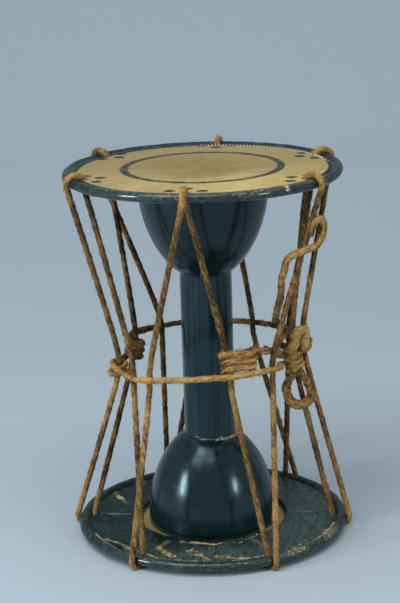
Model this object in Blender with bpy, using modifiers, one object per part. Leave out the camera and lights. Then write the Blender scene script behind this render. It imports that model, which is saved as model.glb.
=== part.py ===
"""Laced hourglass hand drum: a turned hollow body between two wide heads, held by one lacing cord.

Metres, +Z up. The origin is on the drum's axis, at the level of the six cord bends that it stands on.
Angles go round the axis from the front (-Y) towards the right (+X), in degrees.
"""

from math import asin, cos, degrees, pi, radians, sin, sqrt

import bmesh
import bpy
from mathutils import Vector

# Turned body
BODY_LENGTH = 0.251
UPPER_BOWL_HEIGHT = 0.0690
LOWER_BOWL_HEIGHT = 0.0639
MOUTH_RADIUS = 0.0450
SHOULDER_RADIUS = 0.0192
SHOULDER_DEPTH = 0.0012
STEM_RADIUS = 0.0178
STEM_BORE_RADIUS = 0.0115
BOWL_WALL = 0.0062
MOUTH_LIP = 0.0026
BOWL_SWELL = 2.3
BOWL_ROUND = 0.8

# Heads: an iron ring with the skin lapped round it, and a leather facing on the back
HEAD_RADIUS = 0.0945
RING_WIRE_RADIUS = 0.0019
SKIN_THICKNESS = 0.0012
FIT_GAP = 0.0003
SKIN_SINK = 0.0010
FACING_THICKNESS = 0.0020
FACING_OPENING_RADIUS = 0.0520
PATCH_SIDE = 0.0120
PATCH_THICKNESS = 0.0010

# Cord holes: six in each head, the lower ones turned against the upper ones and less evenly spaced
UPPER_HOLES = (-8.0, 52.0, 112.0, 172.0, 232.0, 292.0)
LOWER_HOLES = (-35.0, 25.0, 85.0, 139.0, 200.0, 265.0)
HOLE_INSET = 0.0070
HOLE_CLEARANCE = 0.0004

# Cord
CORD_DIAMETER = 0.0038
CORD_GAP = 0.0008
BEND_GAP = 0.0003
BEND_TUCK = 14.0
FOOT_FLAT = 0.35
RUN_SOFTNESS = 0.08

# Where the waist cord draws each run in: angle, distance from the axis, height above mid-length.
# An outer run joins upper and lower holes of the same number, an inner run goes on to the next lower one.
OUTER_WAIST = (
    (-31.5, 0.0750, -0.0010),
    (43.0, 0.0625, -0.0010),
    (90.0, 0.0655, 0.0050),
    (148.0, 0.0620, 0.0010),
    (213.0, 0.0595, 0.0010),
    (278.0, 0.0620, -0.0060),
)
INNER_WAIST = (
    (12.5, 0.0630, -0.0010),
    (84.1, 0.0583, 0.0030),
    (113.0, 0.0625, 0.0030),
    (186.0, 0.0640, 0.0010),
    (249.0, 0.0540, 0.0040),
    (310.0, 0.0660, -0.0020),
)

# Hitches of the waist cord on the left, the lashing on the front and the knot on the right
SMALL_HITCH_TURNS = 2
SMALL_HITCH_DROP = 0.0052
COIL_HITCH_TURNS = 3
COIL_HITCH_DROP = 0.0110
LASHING_TURNS = 3
LASHING_REACH = 0.0170
LASHING_ANGLE = 116.0
LASHING_LIFT = 0.0006
KNOT_TURNS = 3.25
KNOT_DROP = 0.0155
KNOT_SLANT = 0.35
TURN_POINTS = 16
WRAP_LIFT = 1.18

STEPS = 48
ARC_STEPS = 8
BEND_STEPS = 8
RUN_STEPS = 5
CORD_ROUNDNESS = 2
WINDING_ROUNDNESS = 1

CORD_RADIUS = CORD_DIAMETER / 2
WRAP = CORD_DIAMETER + CORD_GAP
ROLL_RADIUS = RING_WIRE_RADIUS + FIT_GAP + SKIN_THICKNESS
RING_RADIUS = HEAD_RADIUS - ROLL_RADIUS
SKIN_FRONT = ROLL_RADIUS - SKIN_SINK
SKIN_BACK = SKIN_FRONT - SKIN_THICKNESS
BEND_REACH = ROLL_RADIUS + BEND_GAP + CORD_RADIUS
LOWER_RING_HEIGHT = BEND_REACH + CORD_RADIUS - FOOT_FLAT * CORD_DIAMETER
MOUTH_SETBACK = SKIN_BACK - FIT_GAP
UPPER_RING_HEIGHT = LOWER_RING_HEIGHT + BODY_LENGTH - 2 * MOUTH_SETBACK
MID_HEIGHT = (LOWER_RING_HEIGHT + UPPER_RING_HEIGHT) / 2
LOWER_MOUTH_HEIGHT = LOWER_RING_HEIGHT - MOUTH_SETBACK
UPPER_MOUTH_HEIGHT = UPPER_RING_HEIGHT + MOUTH_SETBACK
HOLE_RADIUS = CORD_RADIUS + HOLE_CLEARANCE
HOLE_CIRCLE_RADIUS = RING_RADIUS - HOLE_INSET


def polar(angle, radius, height):
    """The point at an angle round the axis, a distance from it and a height."""
    turn = radians(angle)
    return Vector((radius * sin(turn), -radius * cos(turn), height))


def outward(point):
    """The level direction away from the axis at a point."""
    return Vector((point.x, point.y, 0)).normalized()


def material(name, colour, roughness, metallic=0.0):
    made = bpy.data.materials.new(name)
    made.use_nodes = True
    shader = made.node_tree.nodes["Principled BSDF"]
    shader.inputs["Base Color"].default_value = (*colour, 1.0)
    shader.inputs["Roughness"].default_value = roughness
    shader.inputs["Metallic"].default_value = metallic
    return made


def add(name, data, look, group, location=(0, 0, 0)):
    made = bpy.data.objects.new(name, data)
    made.location = location
    group.objects.link(made)
    if look:
        data.materials.append(look)
    return made


def turned(name, profile, look, group, closed):
    """A profile of (radius, height) pairs turned round the axis."""
    count = len(profile)
    edges = [(i, i + 1) for i in range(count - 1)]
    if closed:
        edges.append((count - 1, 0))
    mesh = bpy.data.meshes.new(name)
    mesh.from_pydata([(radius, 0, height) for radius, height in profile], edges, [])
    made = add(name, mesh, look, group)
    screw = made.modifiers.new("Turn", "SCREW")
    screw.steps = STEPS
    screw.render_steps = STEPS
    screw.use_merge_vertices = True
    screw.merge_threshold = 0.00001
    screw.use_smooth_shade = True
    return made


def arc(centre, radius, start, end, steps):
    """Points (radius, height) along an arc round centre, from start to end in degrees."""
    return [
        (centre[0] + radius * cos(radians(start + (end - start) * i / steps)),
         centre[1] + radius * sin(radians(start + (end - start) * i / steps)))
        for i in range(steps + 1)
    ]


def tube(name, points, look, group, level, origin=(0, 0, 0)):
    """A round cord along points, as a bevelled poly curve with closed ends."""
    curve = bpy.data.curves.new(name, "CURVE")
    curve.dimensions = "3D"
    curve.bevel_depth = CORD_RADIUS
    curve.bevel_resolution = level
    curve.use_fill_caps = True
    line = curve.splines.new("POLY")
    line.points.add(len(points) - 1)
    for place, point in zip(line.points, points):
        place.co = (*(point - Vector(origin)), 1)
    return add(name, curve, look, group, origin)


def smooth(points, parts):
    """A centripetal curve through hand-set points, with parts steps between each pair."""
    ends = [points[0] * 2 - points[1], *points, points[-1] * 2 - points[-2]]
    line = []
    for a, b, c, d in zip(ends, ends[1:], ends[2:], ends[3:]):
        t1 = sqrt((b - a).length)
        t2 = t1 + sqrt((c - b).length)
        t3 = t2 + sqrt((d - c).length)
        for i in range(parts):
            t = t1 + (t2 - t1) * i / parts
            ab = a * ((t1 - t) / t1) + b * (t / t1)
            bc = b * ((t2 - t) / (t2 - t1)) + c * ((t - t1) / (t2 - t1))
            cd = c * ((t3 - t) / (t3 - t2)) + d * ((t - t2) / (t3 - t2))
            abc = ab * ((t2 - t) / t2) + bc * (t / t2)
            bcd = bc * ((t3 - t) / (t3 - t1)) + cd * ((t - t1) / (t3 - t1))
            line.append(abc * ((t2 - t) / (t2 - t1)) + bcd * ((t - t1) / (t2 - t1)))
    line.append(points[-1])
    return line


def bowl_radius(share, mouth, throat):
    """The swelling bowl wall: throat at share 0, mouth at share 1."""
    return throat + (mouth - throat) * (1 - (1 - share) ** BOWL_SWELL) ** BOWL_ROUND


def make_body(look, group):
    """One hollow piece: two bowls joined by a plain bored stem."""
    upper_shoulder = UPPER_MOUTH_HEIGHT - UPPER_BOWL_HEIGHT
    lower_shoulder = LOWER_MOUTH_HEIGHT + LOWER_BOWL_HEIGHT
    shares = (1.0, 0.72, 0.48, 0.3, 0.16, 0.06, 0.0)
    inner_shares = (0.0, 0.08, 0.24, 0.5, 0.96)
    outside = []
    for share in shares:
        outside.append((bowl_radius(share, MOUTH_RADIUS, SHOULDER_RADIUS),
                        upper_shoulder + share * UPPER_BOWL_HEIGHT))
    outside.append((STEM_RADIUS, upper_shoulder - SHOULDER_DEPTH))
    outside.append((STEM_RADIUS, lower_shoulder + SHOULDER_DEPTH))
    for share in reversed(shares):
        outside.append((bowl_radius(share, MOUTH_RADIUS, SHOULDER_RADIUS),
                        lower_shoulder - share * LOWER_BOWL_HEIGHT))
    inside = [(MOUTH_RADIUS - MOUTH_LIP, LOWER_MOUTH_HEIGHT)]
    for share in reversed(inner_shares):
        inside.append((bowl_radius(share, MOUTH_RADIUS - BOWL_WALL, STEM_BORE_RADIUS),
                       lower_shoulder - share * LOWER_BOWL_HEIGHT))
    for share in inner_shares:
        inside.append((bowl_radius(share, MOUTH_RADIUS - BOWL_WALL, STEM_BORE_RADIUS),
                       upper_shoulder + share * UPPER_BOWL_HEIGHT))
    inside.append((MOUTH_RADIUS - MOUTH_LIP, UPPER_MOUTH_HEIGHT))
    return turned("drum_body", outside + inside, look, group, closed=True)


def drill(piece, angles, height, cutters):
    """Cut the cord holes of one head through a piece."""
    for k, angle in enumerate(angles):
        place = polar(angle, HOLE_CIRCLE_RADIUS, height)
        bpy.ops.mesh.primitive_cylinder_add(
            vertices=12, radius=HOLE_RADIUS, depth=4 * ROLL_RADIUS, location=place)
        cutter = bpy.context.active_object
        cutter.name = f"{piece.name}_hole_{k + 1}"
        for holder in list(cutter.users_collection):
            holder.objects.unlink(cutter)
        cutters.objects.link(cutter)
        cutter.hide_render = True
        cutter.display_type = "WIRE"
        cut = piece.modifiers.new(f"Hole {k + 1}", "BOOLEAN")
        cut.operation = "DIFFERENCE"
        cut.object = cutter


def make_head(name, height, side, holes, looks, group, cutters):
    """An iron ring, the skin lapped round it and the facing behind it. Side is 1 above and -1 below."""
    bpy.ops.mesh.primitive_torus_add(
        major_segments=STEPS, minor_segments=6, location=(0, 0, height),
        major_radius=RING_RADIUS, minor_radius=RING_WIRE_RADIUS)
    ring = bpy.context.active_object
    ring.name = f"{name}_ring"
    ring.data.materials.append(looks["iron"])
    for holder in list(ring.users_collection):
        holder.objects.unlink(ring)
    group.objects.link(ring)

    pocket = RING_WIRE_RADIUS + FIT_GAP
    meets = RING_RADIUS - sqrt(ROLL_RADIUS ** 2 - SKIN_FRONT ** 2)
    back_meets = RING_RADIUS - sqrt(pocket ** 2 - SKIN_BACK ** 2)
    outer_start = 180 - degrees(asin(SKIN_FRONT / ROLL_RADIUS))
    inner_end = 180 - degrees(asin(SKIN_BACK / pocket))
    skin = [(0, SKIN_FRONT), (HOLE_CIRCLE_RADIUS - 2 * HOLE_RADIUS, SKIN_FRONT), (meets, SKIN_FRONT)]
    skin += arc((RING_RADIUS, 0), ROLL_RADIUS, outer_start, -150, ARC_STEPS)[1:]
    skin += arc((RING_RADIUS, 0), pocket, -150, inner_end, ARC_STEPS - 2)[:-1]
    skin += [(back_meets, SKIN_BACK), (HOLE_CIRCLE_RADIUS - 2 * HOLE_RADIUS, SKIN_BACK), (0, SKIN_BACK)]

    front = SKIN_BACK - FIT_GAP
    edge = RING_RADIUS - ROLL_RADIUS - FIT_GAP
    facing = [
        (FACING_OPENING_RADIUS, front),
        (edge, front),
        (edge, front - FACING_THICKNESS),
        (FACING_OPENING_RADIUS, front - FACING_THICKNESS),
    ]
    for piece_name, profile, closed in (("skin", skin, False), ("facing", facing, True)):
        placed = [(radius, height + side * z) for radius, z in profile]
        if side < 0:
            placed.reverse()
        look = looks["skin"] if piece_name == "skin" else looks["leather"]
        piece = turned(f"{name}_{piece_name}", placed, look, group, closed)
        drill(piece, holes, height, cutters)


def make_patch(look, group):
    """The damping patch stuck inside the lower skin."""
    bpy.ops.mesh.primitive_cube_add(size=1, location=(
        0, 0, LOWER_RING_HEIGHT - SKIN_BACK + FIT_GAP + PATCH_THICKNESS / 2))
    patch = bpy.context.active_object
    patch.name = "lower_head_patch"
    patch.scale = (PATCH_SIDE, PATCH_SIDE, PATCH_THICKNESS)
    patch.data.materials.append(look)
    for holder in list(patch.users_collection):
        holder.objects.unlink(patch)
    group.objects.link(patch)


def bend(angle, height, side):
    """The cord's bend round a rolled rim, from the hole to the outside. Side is 1 above and -1 below."""
    points = [polar(angle, RING_RADIUS - HOLE_INSET, height)]
    for i in range(BEND_STEPS + 1):
        turn = radians(180 - (180 + BEND_TUCK) * i / BEND_STEPS)
        inside = cos(turn) < 0
        reach = HOLE_INSET if inside else BEND_REACH
        leg = SKIN_FRONT if inside else 0
        points.append(polar(angle, RING_RADIUS + reach * cos(turn),
                            height + side * (leg + (BEND_REACH - leg) * sin(turn))))
    return points


def run_point(run, height):
    """A point of a taut run, drawn in at its waist, at a height."""
    top, waist, bottom = run
    end = top if height > waist.z else bottom
    share = (height - waist.z) / (end.z - waist.z)
    eased = sqrt(share ** 2 + RUN_SOFTNESS ** 2) - RUN_SOFTNESS
    eased /= sqrt(1 + RUN_SOFTNESS ** 2) - RUN_SOFTNESS
    point = waist.lerp(end, eased)
    return Vector((point.x, point.y, height))


def run_line(run, upward):
    """Points along a run without its two ends, closer together near the waist."""
    top, waist, bottom = run
    shares = [(i / RUN_STEPS) ** 1.6 for i in range(1, RUN_STEPS)]
    heights = [waist.z + (top.z - waist.z) * s for s in reversed(shares)] + [waist.z]
    heights += [waist.z + (bottom.z - waist.z) * s for s in shares]
    line = [run_point(run, height) for height in heights]
    return line[::-1] if upward else line


def lacing_runs():
    """The twelve runs as (top, waist, bottom): six outside the rims and six through the holes."""
    outer, inner = [], []
    for k, angle in enumerate(UPPER_HOLES):
        top = bend(angle, UPPER_RING_HEIGHT, 1)
        bottom = bend(LOWER_HOLES[k], LOWER_RING_HEIGHT, -1)
        after = bend(LOWER_HOLES[(k + 1) % len(LOWER_HOLES)], LOWER_RING_HEIGHT, -1)
        angle, radius, lift = OUTER_WAIST[k]
        outer.append((top[-1], polar(angle, radius, MID_HEIGHT + lift), bottom[-1]))
        angle, radius, lift = INNER_WAIST[k]
        leg = Vector((0, 0, CORD_DIAMETER))
        inner.append((top[0] - leg, polar(angle, radius, MID_HEIGHT + lift), after[0] + leg))
    return outer, inner


def make_lacing(outer, inner, look, group):
    """The lacing cord in six equal stretches that meet in the lower holes, cut flat where they stand."""
    for k, angle in enumerate(UPPER_HOLES):
        lower = bend(LOWER_HOLES[k], LOWER_RING_HEIGHT, -1)
        upper = bend(angle, UPPER_RING_HEIGHT, 1)
        end = bend(LOWER_HOLES[(k + 1) % len(LOWER_HOLES)], LOWER_RING_HEIGHT, -1)[0]
        points = lower + run_line(outer[k], True) + upper[::-1]
        points += [inner[k][0]] + run_line(inner[k], False) + [inner[k][2]]
        points.append(end + Vector((0, 0, FIT_GAP)))
        name = f"lacing_cord_{k + 1}"
        cord = tube(name, points, look, group, CORD_ROUNDNESS)
        bpy.context.view_layer.update()
        shaped = cord.evaluated_get(bpy.context.evaluated_depsgraph_get())
        mesh = bpy.data.meshes.new_from_object(shaped)
        bpy.data.objects.remove(cord)
        bm = bmesh.new()
        bm.from_mesh(mesh)
        bmesh.ops.remove_doubles(bm, verts=bm.verts, dist=0.00001)
        bmesh.ops.bisect_plane(
            bm, geom=bm.verts[:] + bm.edges[:] + bm.faces[:], plane_co=(0, 0, 0),
            plane_no=(0, 0, -1), clear_outer=True)
        bmesh.ops.holes_fill(bm, edges=[edge for edge in bm.edges if edge.is_boundary])
        bmesh.ops.recalc_face_normals(bm, faces=bm.faces)
        bm.to_mesh(mesh)
        bm.free()
        mesh.name = name
        add(name, mesh, None, group)


def wound(first, second, distance, start, turns, height, pitch, way=1, slant=0.0):
    """Turns round one run, or round two side by side, as points that climb by a pitch from a height.

    The turns start on the outer side at start degrees, and way is 1 to go on towards the right. Slant lifts
    them on the outer side.
    """
    points = []
    count = int(turns * TURN_POINTS)
    for i in range(count + 1):
        level = height + pitch * i / TURN_POINTS
        a = run_point(first, level)
        b = run_point(second, level)
        middle = (a + b) / 2
        out = outward(middle)
        side = Vector((-out.y, out.x, 0)) * way
        turn = radians(start) + 2 * pi * i / TURN_POINTS
        direction = out * cos(turn) + side * sin(turn)
        nearer = a if (a - b).dot(direction) > 0 else b
        rise = slant * distance * cos(turn)
        points.append(nearer + direction * distance + Vector((0, 0, rise)))
    return points


def clear_of_itself(name, points):
    """Print the least gap of a wound cord to itself, measured on points along its middle."""
    fine = []
    for a, b in zip(points, points[1:]):
        parts = max(1, int((b - a).length / (CORD_RADIUS / 2)))
        fine += [a.lerp(b, i / parts) for i in range(parts)]
    skip = int(2.5 * CORD_DIAMETER / (CORD_RADIUS / 2))
    least = min(
        ((p - q).length for i, p in enumerate(fine) for q in fine[i + skip:]), default=1.0)
    print(f"{name}: least gap to itself {(least - CORD_DIAMETER) * 1000:.2f} mm")


def beside(run, height, angle, distance):
    """A point beside a run: angle 0 towards the front, 90 towards the right."""
    return run_point(run, height) + polar(angle, distance, 0)


def make_waist_cord(outer, inner, look, group):
    """The cord round the waist, with its two hitches on the left, ending at the knot on the right."""
    pitch = WRAP_LIFT * CORD_DIAMETER

    def over(run, lift, reach=WRAP):
        point = run_point(run, MID_HEIGHT + lift)
        return point + outward(point) * reach

    start = beside(inner[1], MID_HEIGHT - KNOT_DROP + pitch, -75, 2.1 * WRAP)
    front = [start, over(outer[1], -0.001, 1.12 * WRAP), over(inner[0], -0.001), over(outer[0], -0.001),
             over(inner[5], -0.005)]
    small = wound(outer[5], outer[5], WRAP, 0, SMALL_HITCH_TURNS, MID_HEIGHT - SMALL_HITCH_DROP, -pitch, -1)
    coil = wound(inner[4], inner[4], WRAP, 0, COIL_HITCH_TURNS, MID_HEIGHT - COIL_HITCH_DROP, pitch, -1)
    back = [over(outer[4], 0.001), over(inner[3], 0.0), over(outer[3], 0.001), over(inner[2], 0.002)]
    knot_back = run_point(outer[2], MID_HEIGHT)
    back.append(knot_back + polar(150, 2 * WRAP + CORD_RADIUS, 0))
    along = outward(coil[-1])
    back.insert(0, coil[-1] + Vector((along.y, -along.x, 0)) * 2 * WRAP)
    along = outward(small[0])
    front.append(small[0] + Vector((-along.y, along.x, 0)) * 2 * WRAP)
    along = outward(small[-1])
    between = small[-1] + Vector((along.y, -along.x, -0.12)) * 2 * WRAP
    points = smooth(front + [small[0]], 3)[:-1] + small + [between] + coil[:-1] + smooth([coil[-1]] + back, 3)
    clear_of_itself("waist_cord", points)
    tube("waist_cord", points, look, group, WINDING_ROUNDNESS)


def make_lashing(outer, inner, look, group):
    """The end of the waist cord lashed on the front: long turns hooked round one run."""
    pitch = WRAP_LIFT * CORD_DIAMETER
    hooked = inner[0]
    shift = polar(LASHING_ANGLE, LASHING_REACH, 0)
    far = tuple(point + shift for point in hooked)
    points = wound(hooked, far, WRAP, 90, LASHING_TURNS, MID_HEIGHT + LASHING_LIFT, pitch, 1)
    last = points[-1]
    tail = [
        last + polar(80, 0.009, pitch / 2),
        beside(outer[1], last.z - 0.002, 235, 1.4 * WRAP),
        beside(outer[1], last.z - 0.007, 165, 2.4 * WRAP),
        beside(inner[1], MID_HEIGHT - 0.004, -70, 2.1 * WRAP),
    ]
    points = points[:-1] + smooth([last] + tail, 4)
    clear_of_itself("front_lashing", points)
    tube("front_lashing", points, look, group, WINDING_ROUNDNESS)


def make_knot(outer, inner, look, group):
    """The slip knot on the right: slanting turns round one run, and a bight drawn up in front of the next."""
    pitch = WRAP_LIFT * CORD_DIAMETER
    points = wound(
        inner[1], inner[1], WRAP, -180, KNOT_TURNS, MID_HEIGHT - KNOT_DROP, pitch, 1, KNOT_SLANT)
    top = points[-1]
    bight = [
        beside(inner[1], top.z + 0.0050, 10, 1.35 * WRAP),
        beside(inner[1], top.z + 0.0105, 15, 1.40 * WRAP),
        beside(inner[1], top.z + 0.0155, 30, 1.60 * WRAP),
        beside(outer[2], top.z + 0.0155, -5, 2.20 * WRAP),
        beside(outer[2], top.z + 0.0105, -5, 1.80 * WRAP),
        beside(outer[2], top.z + 0.0060, 5, 1.50 * WRAP),
        beside(outer[2], top.z + 0.0030, 45, 1.40 * WRAP),
    ]
    points = points[:-1] + smooth([top] + bight, 3)
    clear_of_itself("side_knot", points)
    tube("side_knot", points, look, group, WINDING_ROUNDNESS)


def make_hitch_cord(outer, inner, look, group):
    """The cord's free end, led up from the knot behind one run to a hitch on it under the upper rim."""
    guide = outer[1]
    rise = run_point(inner[1], MID_HEIGHT + 0.012)
    points = [
        beside(inner[1], MID_HEIGHT + 0.0035, -78, 2.1 * WRAP),
        rise + Vector((-0.0085, -0.0150, 0.0)),
        beside(guide, MID_HEIGHT + 0.025, 150, 1.4 * WRAP),
        beside(guide, MID_HEIGHT + 0.030, -140, 1.2 * WRAP),
        beside(guide, MID_HEIGHT + 0.037, -95, 1.15 * WRAP),
        beside(guide, MID_HEIGHT + 0.047, -85, 1.2 * WRAP),
        beside(guide, MID_HEIGHT + 0.060, -85, 1.8 * WRAP),
        beside(guide, MID_HEIGHT + 0.067, -82, 1.9 * WRAP),
        beside(guide, MID_HEIGHT + 0.076, -75, 1.8 * WRAP),
        beside(guide, MID_HEIGHT + 0.0800, -25, 1.3 * WRAP),
        beside(guide, MID_HEIGHT + 0.0825, 20, 1.3 * WRAP),
        beside(guide, MID_HEIGHT + 0.0840, 60, 1.8 * WRAP),
        beside(guide, MID_HEIGHT + 0.0910, 78, 2.1 * WRAP),
        beside(guide, MID_HEIGHT + 0.0990, 75, 1.75 * WRAP),
        beside(guide, MID_HEIGHT + 0.1025, 45, 1.3 * WRAP),
        beside(guide, MID_HEIGHT + 0.0985, 15, 1.1 * WRAP),
        beside(guide, MID_HEIGHT + 0.0910, 25, 1.1 * WRAP),
    ]
    line = smooth(points, 3)
    clear_of_itself("hitch_cord", line)
    tube("hitch_cord", line, look, group, CORD_ROUNDNESS)


def make_bow_loop(inner, look, group):
    """The loop that hangs from the knot's lowest turn and swings forwards on it."""
    pitch = WRAP_LIFT * CORD_DIAMETER
    hinge = beside(inner[1], MID_HEIGHT - KNOT_DROP + pitch / 4, 0, WRAP)
    hang = CORD_RADIUS + 3 * FIT_GAP
    route = (
        (-0.0034, 0.0, 0.0016),
        (-0.0054, 0.0002, 0.0045),
        (-0.0076, 0.0010, 0.0090),
        (-0.0070, 0.0020, 0.0155),
        (-0.0030, 0.0030, 0.0205),
        (0.0030, 0.0032, 0.0220),
        (0.0088, 0.0028, 0.0195),
        (0.0112, 0.0020, 0.0140),
        (0.0098, 0.0010, 0.0080),
        (0.0060, 0.0002, 0.0030),
        (0.0034, 0.0, -0.0006),
    )
    places = [hinge + Vector((across, -off, -hang - drop)) for across, off, drop in route]
    tube("bow_loop", smooth(places, 3), look, group, CORD_ROUNDNESS, hinge)
    print(f"bow_loop: hinge at {tuple(round(v, 5) for v in hinge)}")


def main():
    for old in list(bpy.data.objects):
        bpy.data.objects.remove(old)
    group = bpy.data.collections.new("hourglass_drum")
    cutters = bpy.data.collections.new("cutters")
    bpy.context.scene.collection.children.link(group)
    bpy.context.scene.collection.children.link(cutters)

    lacquer = material("black_lacquer", (0.012, 0.017, 0.018), 0.25)
    leather = material("lacquered_leather", (0.02, 0.024, 0.024), 0.4)
    hide = material("tan_hide", (0.45, 0.31, 0.13), 0.6)
    iron = material("iron", (0.10, 0.09, 0.085), 0.6, 1.0)
    deerskin = material("deerskin", (0.55, 0.42, 0.26), 0.8)
    hemp = material("hemp_cord", (0.36, 0.18, 0.06), 0.85)

    make_body(lacquer, group)
    looks = {"iron": iron, "skin": hide, "leather": leather}
    make_head("upper_head", UPPER_RING_HEIGHT, 1, UPPER_HOLES, looks, group, cutters)
    make_head("lower_head", LOWER_RING_HEIGHT, -1, LOWER_HOLES, looks, group, cutters)
    make_patch(deerskin, group)
    outer, inner = lacing_runs()
    make_lacing(outer, inner, hemp, group)
    make_waist_cord(outer, inner, hemp, group)
    make_lashing(outer, inner, hemp, group)
    make_knot(outer, inner, hemp, group)
    make_hitch_cord(outer, inner, hemp, group)
    make_bow_loop(inner, hemp, group)


main()
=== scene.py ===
"""Looks of the laced hourglass hand drum.

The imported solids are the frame, and each is replaced by a finer piece on the same named sizes: the turned
and lacquered body, the two lapped, painted and stitched heads, and the twisted hemp cord with its hitches.
Metres, +Z up. Angles go round the drum's axis from the front (-Y) towards the right (+X), in degrees.
"""

import random
from functools import partialmethod
from math import asin, atan2, ceil, cos, degrees, exp, hypot, pi, radians, sin, sqrt

import bmesh
import bpy
from mathutils import Matrix, Vector, noise


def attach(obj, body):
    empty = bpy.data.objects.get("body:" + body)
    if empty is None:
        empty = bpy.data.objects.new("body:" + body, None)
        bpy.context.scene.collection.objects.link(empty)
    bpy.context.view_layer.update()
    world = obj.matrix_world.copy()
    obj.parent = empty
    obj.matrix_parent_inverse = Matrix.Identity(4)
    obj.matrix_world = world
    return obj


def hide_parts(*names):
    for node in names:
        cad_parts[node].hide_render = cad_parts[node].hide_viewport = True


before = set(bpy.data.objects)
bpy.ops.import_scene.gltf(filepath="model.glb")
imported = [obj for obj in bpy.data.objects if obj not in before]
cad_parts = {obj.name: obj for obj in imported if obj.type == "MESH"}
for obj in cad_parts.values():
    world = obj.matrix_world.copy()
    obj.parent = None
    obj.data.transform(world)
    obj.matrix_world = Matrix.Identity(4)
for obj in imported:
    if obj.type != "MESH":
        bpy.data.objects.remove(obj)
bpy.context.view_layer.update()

# Turned body
BODY_LENGTH = 0.251
UPPER_BOWL_HEIGHT = 0.0690
LOWER_BOWL_HEIGHT = 0.0639
MOUTH_RADIUS = 0.0450
SHOULDER_RADIUS = 0.0192
SHOULDER_DEPTH = 0.0012
STEM_RADIUS = 0.0178
STEM_BORE_RADIUS = 0.0115
BOWL_WALL = 0.0062
MOUTH_LIP = 0.0026
BOWL_SWELL = 2.3
BOWL_ROUND = 0.8
BORE_REACH = 0.96
LIP_EASE = 0.0006
SHOULDER_EASE = (0.0004, 0.0005)
SHOULDER_FOOT = 0.0002

# Heads
HEAD_RADIUS = 0.0945
RING_WIRE_RADIUS = 0.0019
SKIN_THICKNESS = 0.0012
FIT_GAP = 0.0003
SKIN_SINK = 0.0010
FACING_THICKNESS = 0.0020
FACING_OPENING_RADIUS = 0.0520
UPPER_HOLES = (-8.0, 52.0, 112.0, 172.0, 232.0, 292.0)
LOWER_HOLES = (-35.0, 25.0, 85.0, 139.0, 200.0, 265.0)
HOLE_INSET = 0.0070
HOLE_CLEARANCE = 0.0004
LAP_END = -150.0

# Cord
CORD_DIAMETER = 0.0038
CORD_GAP = 0.0008
BEND_GAP = 0.0003
BEND_TUCK = 14.0
FOOT_FLAT = 0.35
RUN_SOFTNESS = 0.08
OUTER_WAIST = (
    (-31.5, 0.0750, -0.0010),
    (43.0, 0.0625, -0.0010),
    (90.0, 0.0655, 0.0050),
    (148.0, 0.0620, 0.0010),
    (213.0, 0.0595, 0.0010),
    (278.0, 0.0620, -0.0060),
)
INNER_WAIST = (
    (12.5, 0.0630, -0.0010),
    (84.1, 0.0583, 0.0030),
    (113.0, 0.0625, 0.0030),
    (186.0, 0.0640, 0.0010),
    (249.0, 0.0540, 0.0040),
    (310.0, 0.0660, -0.0020),
)
SMALL_HITCH_TURNS = 2
SMALL_HITCH_DROP = 0.0052
COIL_HITCH_TURNS = 3
COIL_HITCH_DROP = 0.0110
COIL_SLANT = 0.30
LASHING_TURNS = 3
LASHING_REACH = 0.0170
LASHING_ANGLE = 116.0
LASHING_LIFT = 0.0006
LASHING_SLACK = 0.0030
LASHING_DRAWN = 0.86
KNOT_TURNS = 3.25
KNOT_DROP = 0.0155
KNOT_SLANT = 0.35
TURN_POINTS = 16
WRAP_LIFT = 1.18
BEND_STEPS = 16
RUN_STEPS = 12
RUN_CROWDING = 1.6

CORD_RADIUS = CORD_DIAMETER / 2
WRAP = CORD_DIAMETER + CORD_GAP
TURN_PITCH = WRAP_LIFT * CORD_DIAMETER
ROLL_RADIUS = RING_WIRE_RADIUS + FIT_GAP + SKIN_THICKNESS
RING_RADIUS = HEAD_RADIUS - ROLL_RADIUS
SKIN_FRONT = ROLL_RADIUS - SKIN_SINK
SKIN_BACK = SKIN_FRONT - SKIN_THICKNESS
BEND_REACH = ROLL_RADIUS + BEND_GAP + CORD_RADIUS
LOWER_RING_HEIGHT = BEND_REACH + CORD_RADIUS - FOOT_FLAT * CORD_DIAMETER
MOUTH_SETBACK = SKIN_BACK - FIT_GAP
UPPER_RING_HEIGHT = LOWER_RING_HEIGHT + BODY_LENGTH - 2 * MOUTH_SETBACK
MID_HEIGHT = (LOWER_RING_HEIGHT + UPPER_RING_HEIGHT) / 2
LOWER_MOUTH_HEIGHT = LOWER_RING_HEIGHT - MOUTH_SETBACK
UPPER_MOUTH_HEIGHT = UPPER_RING_HEIGHT + MOUTH_SETBACK
LOWER_SHOULDER = LOWER_MOUTH_HEIGHT + LOWER_BOWL_HEIGHT
UPPER_SHOULDER = UPPER_MOUTH_HEIGHT - UPPER_BOWL_HEIGHT
HOLE_RADIUS = CORD_RADIUS + HOLE_CLEARANCE
HOLE_CIRCLE_RADIUS = RING_RADIUS - HOLE_INSET
ROLL_MEETS = RING_RADIUS - sqrt(ROLL_RADIUS ** 2 - SKIN_FRONT ** 2)

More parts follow.
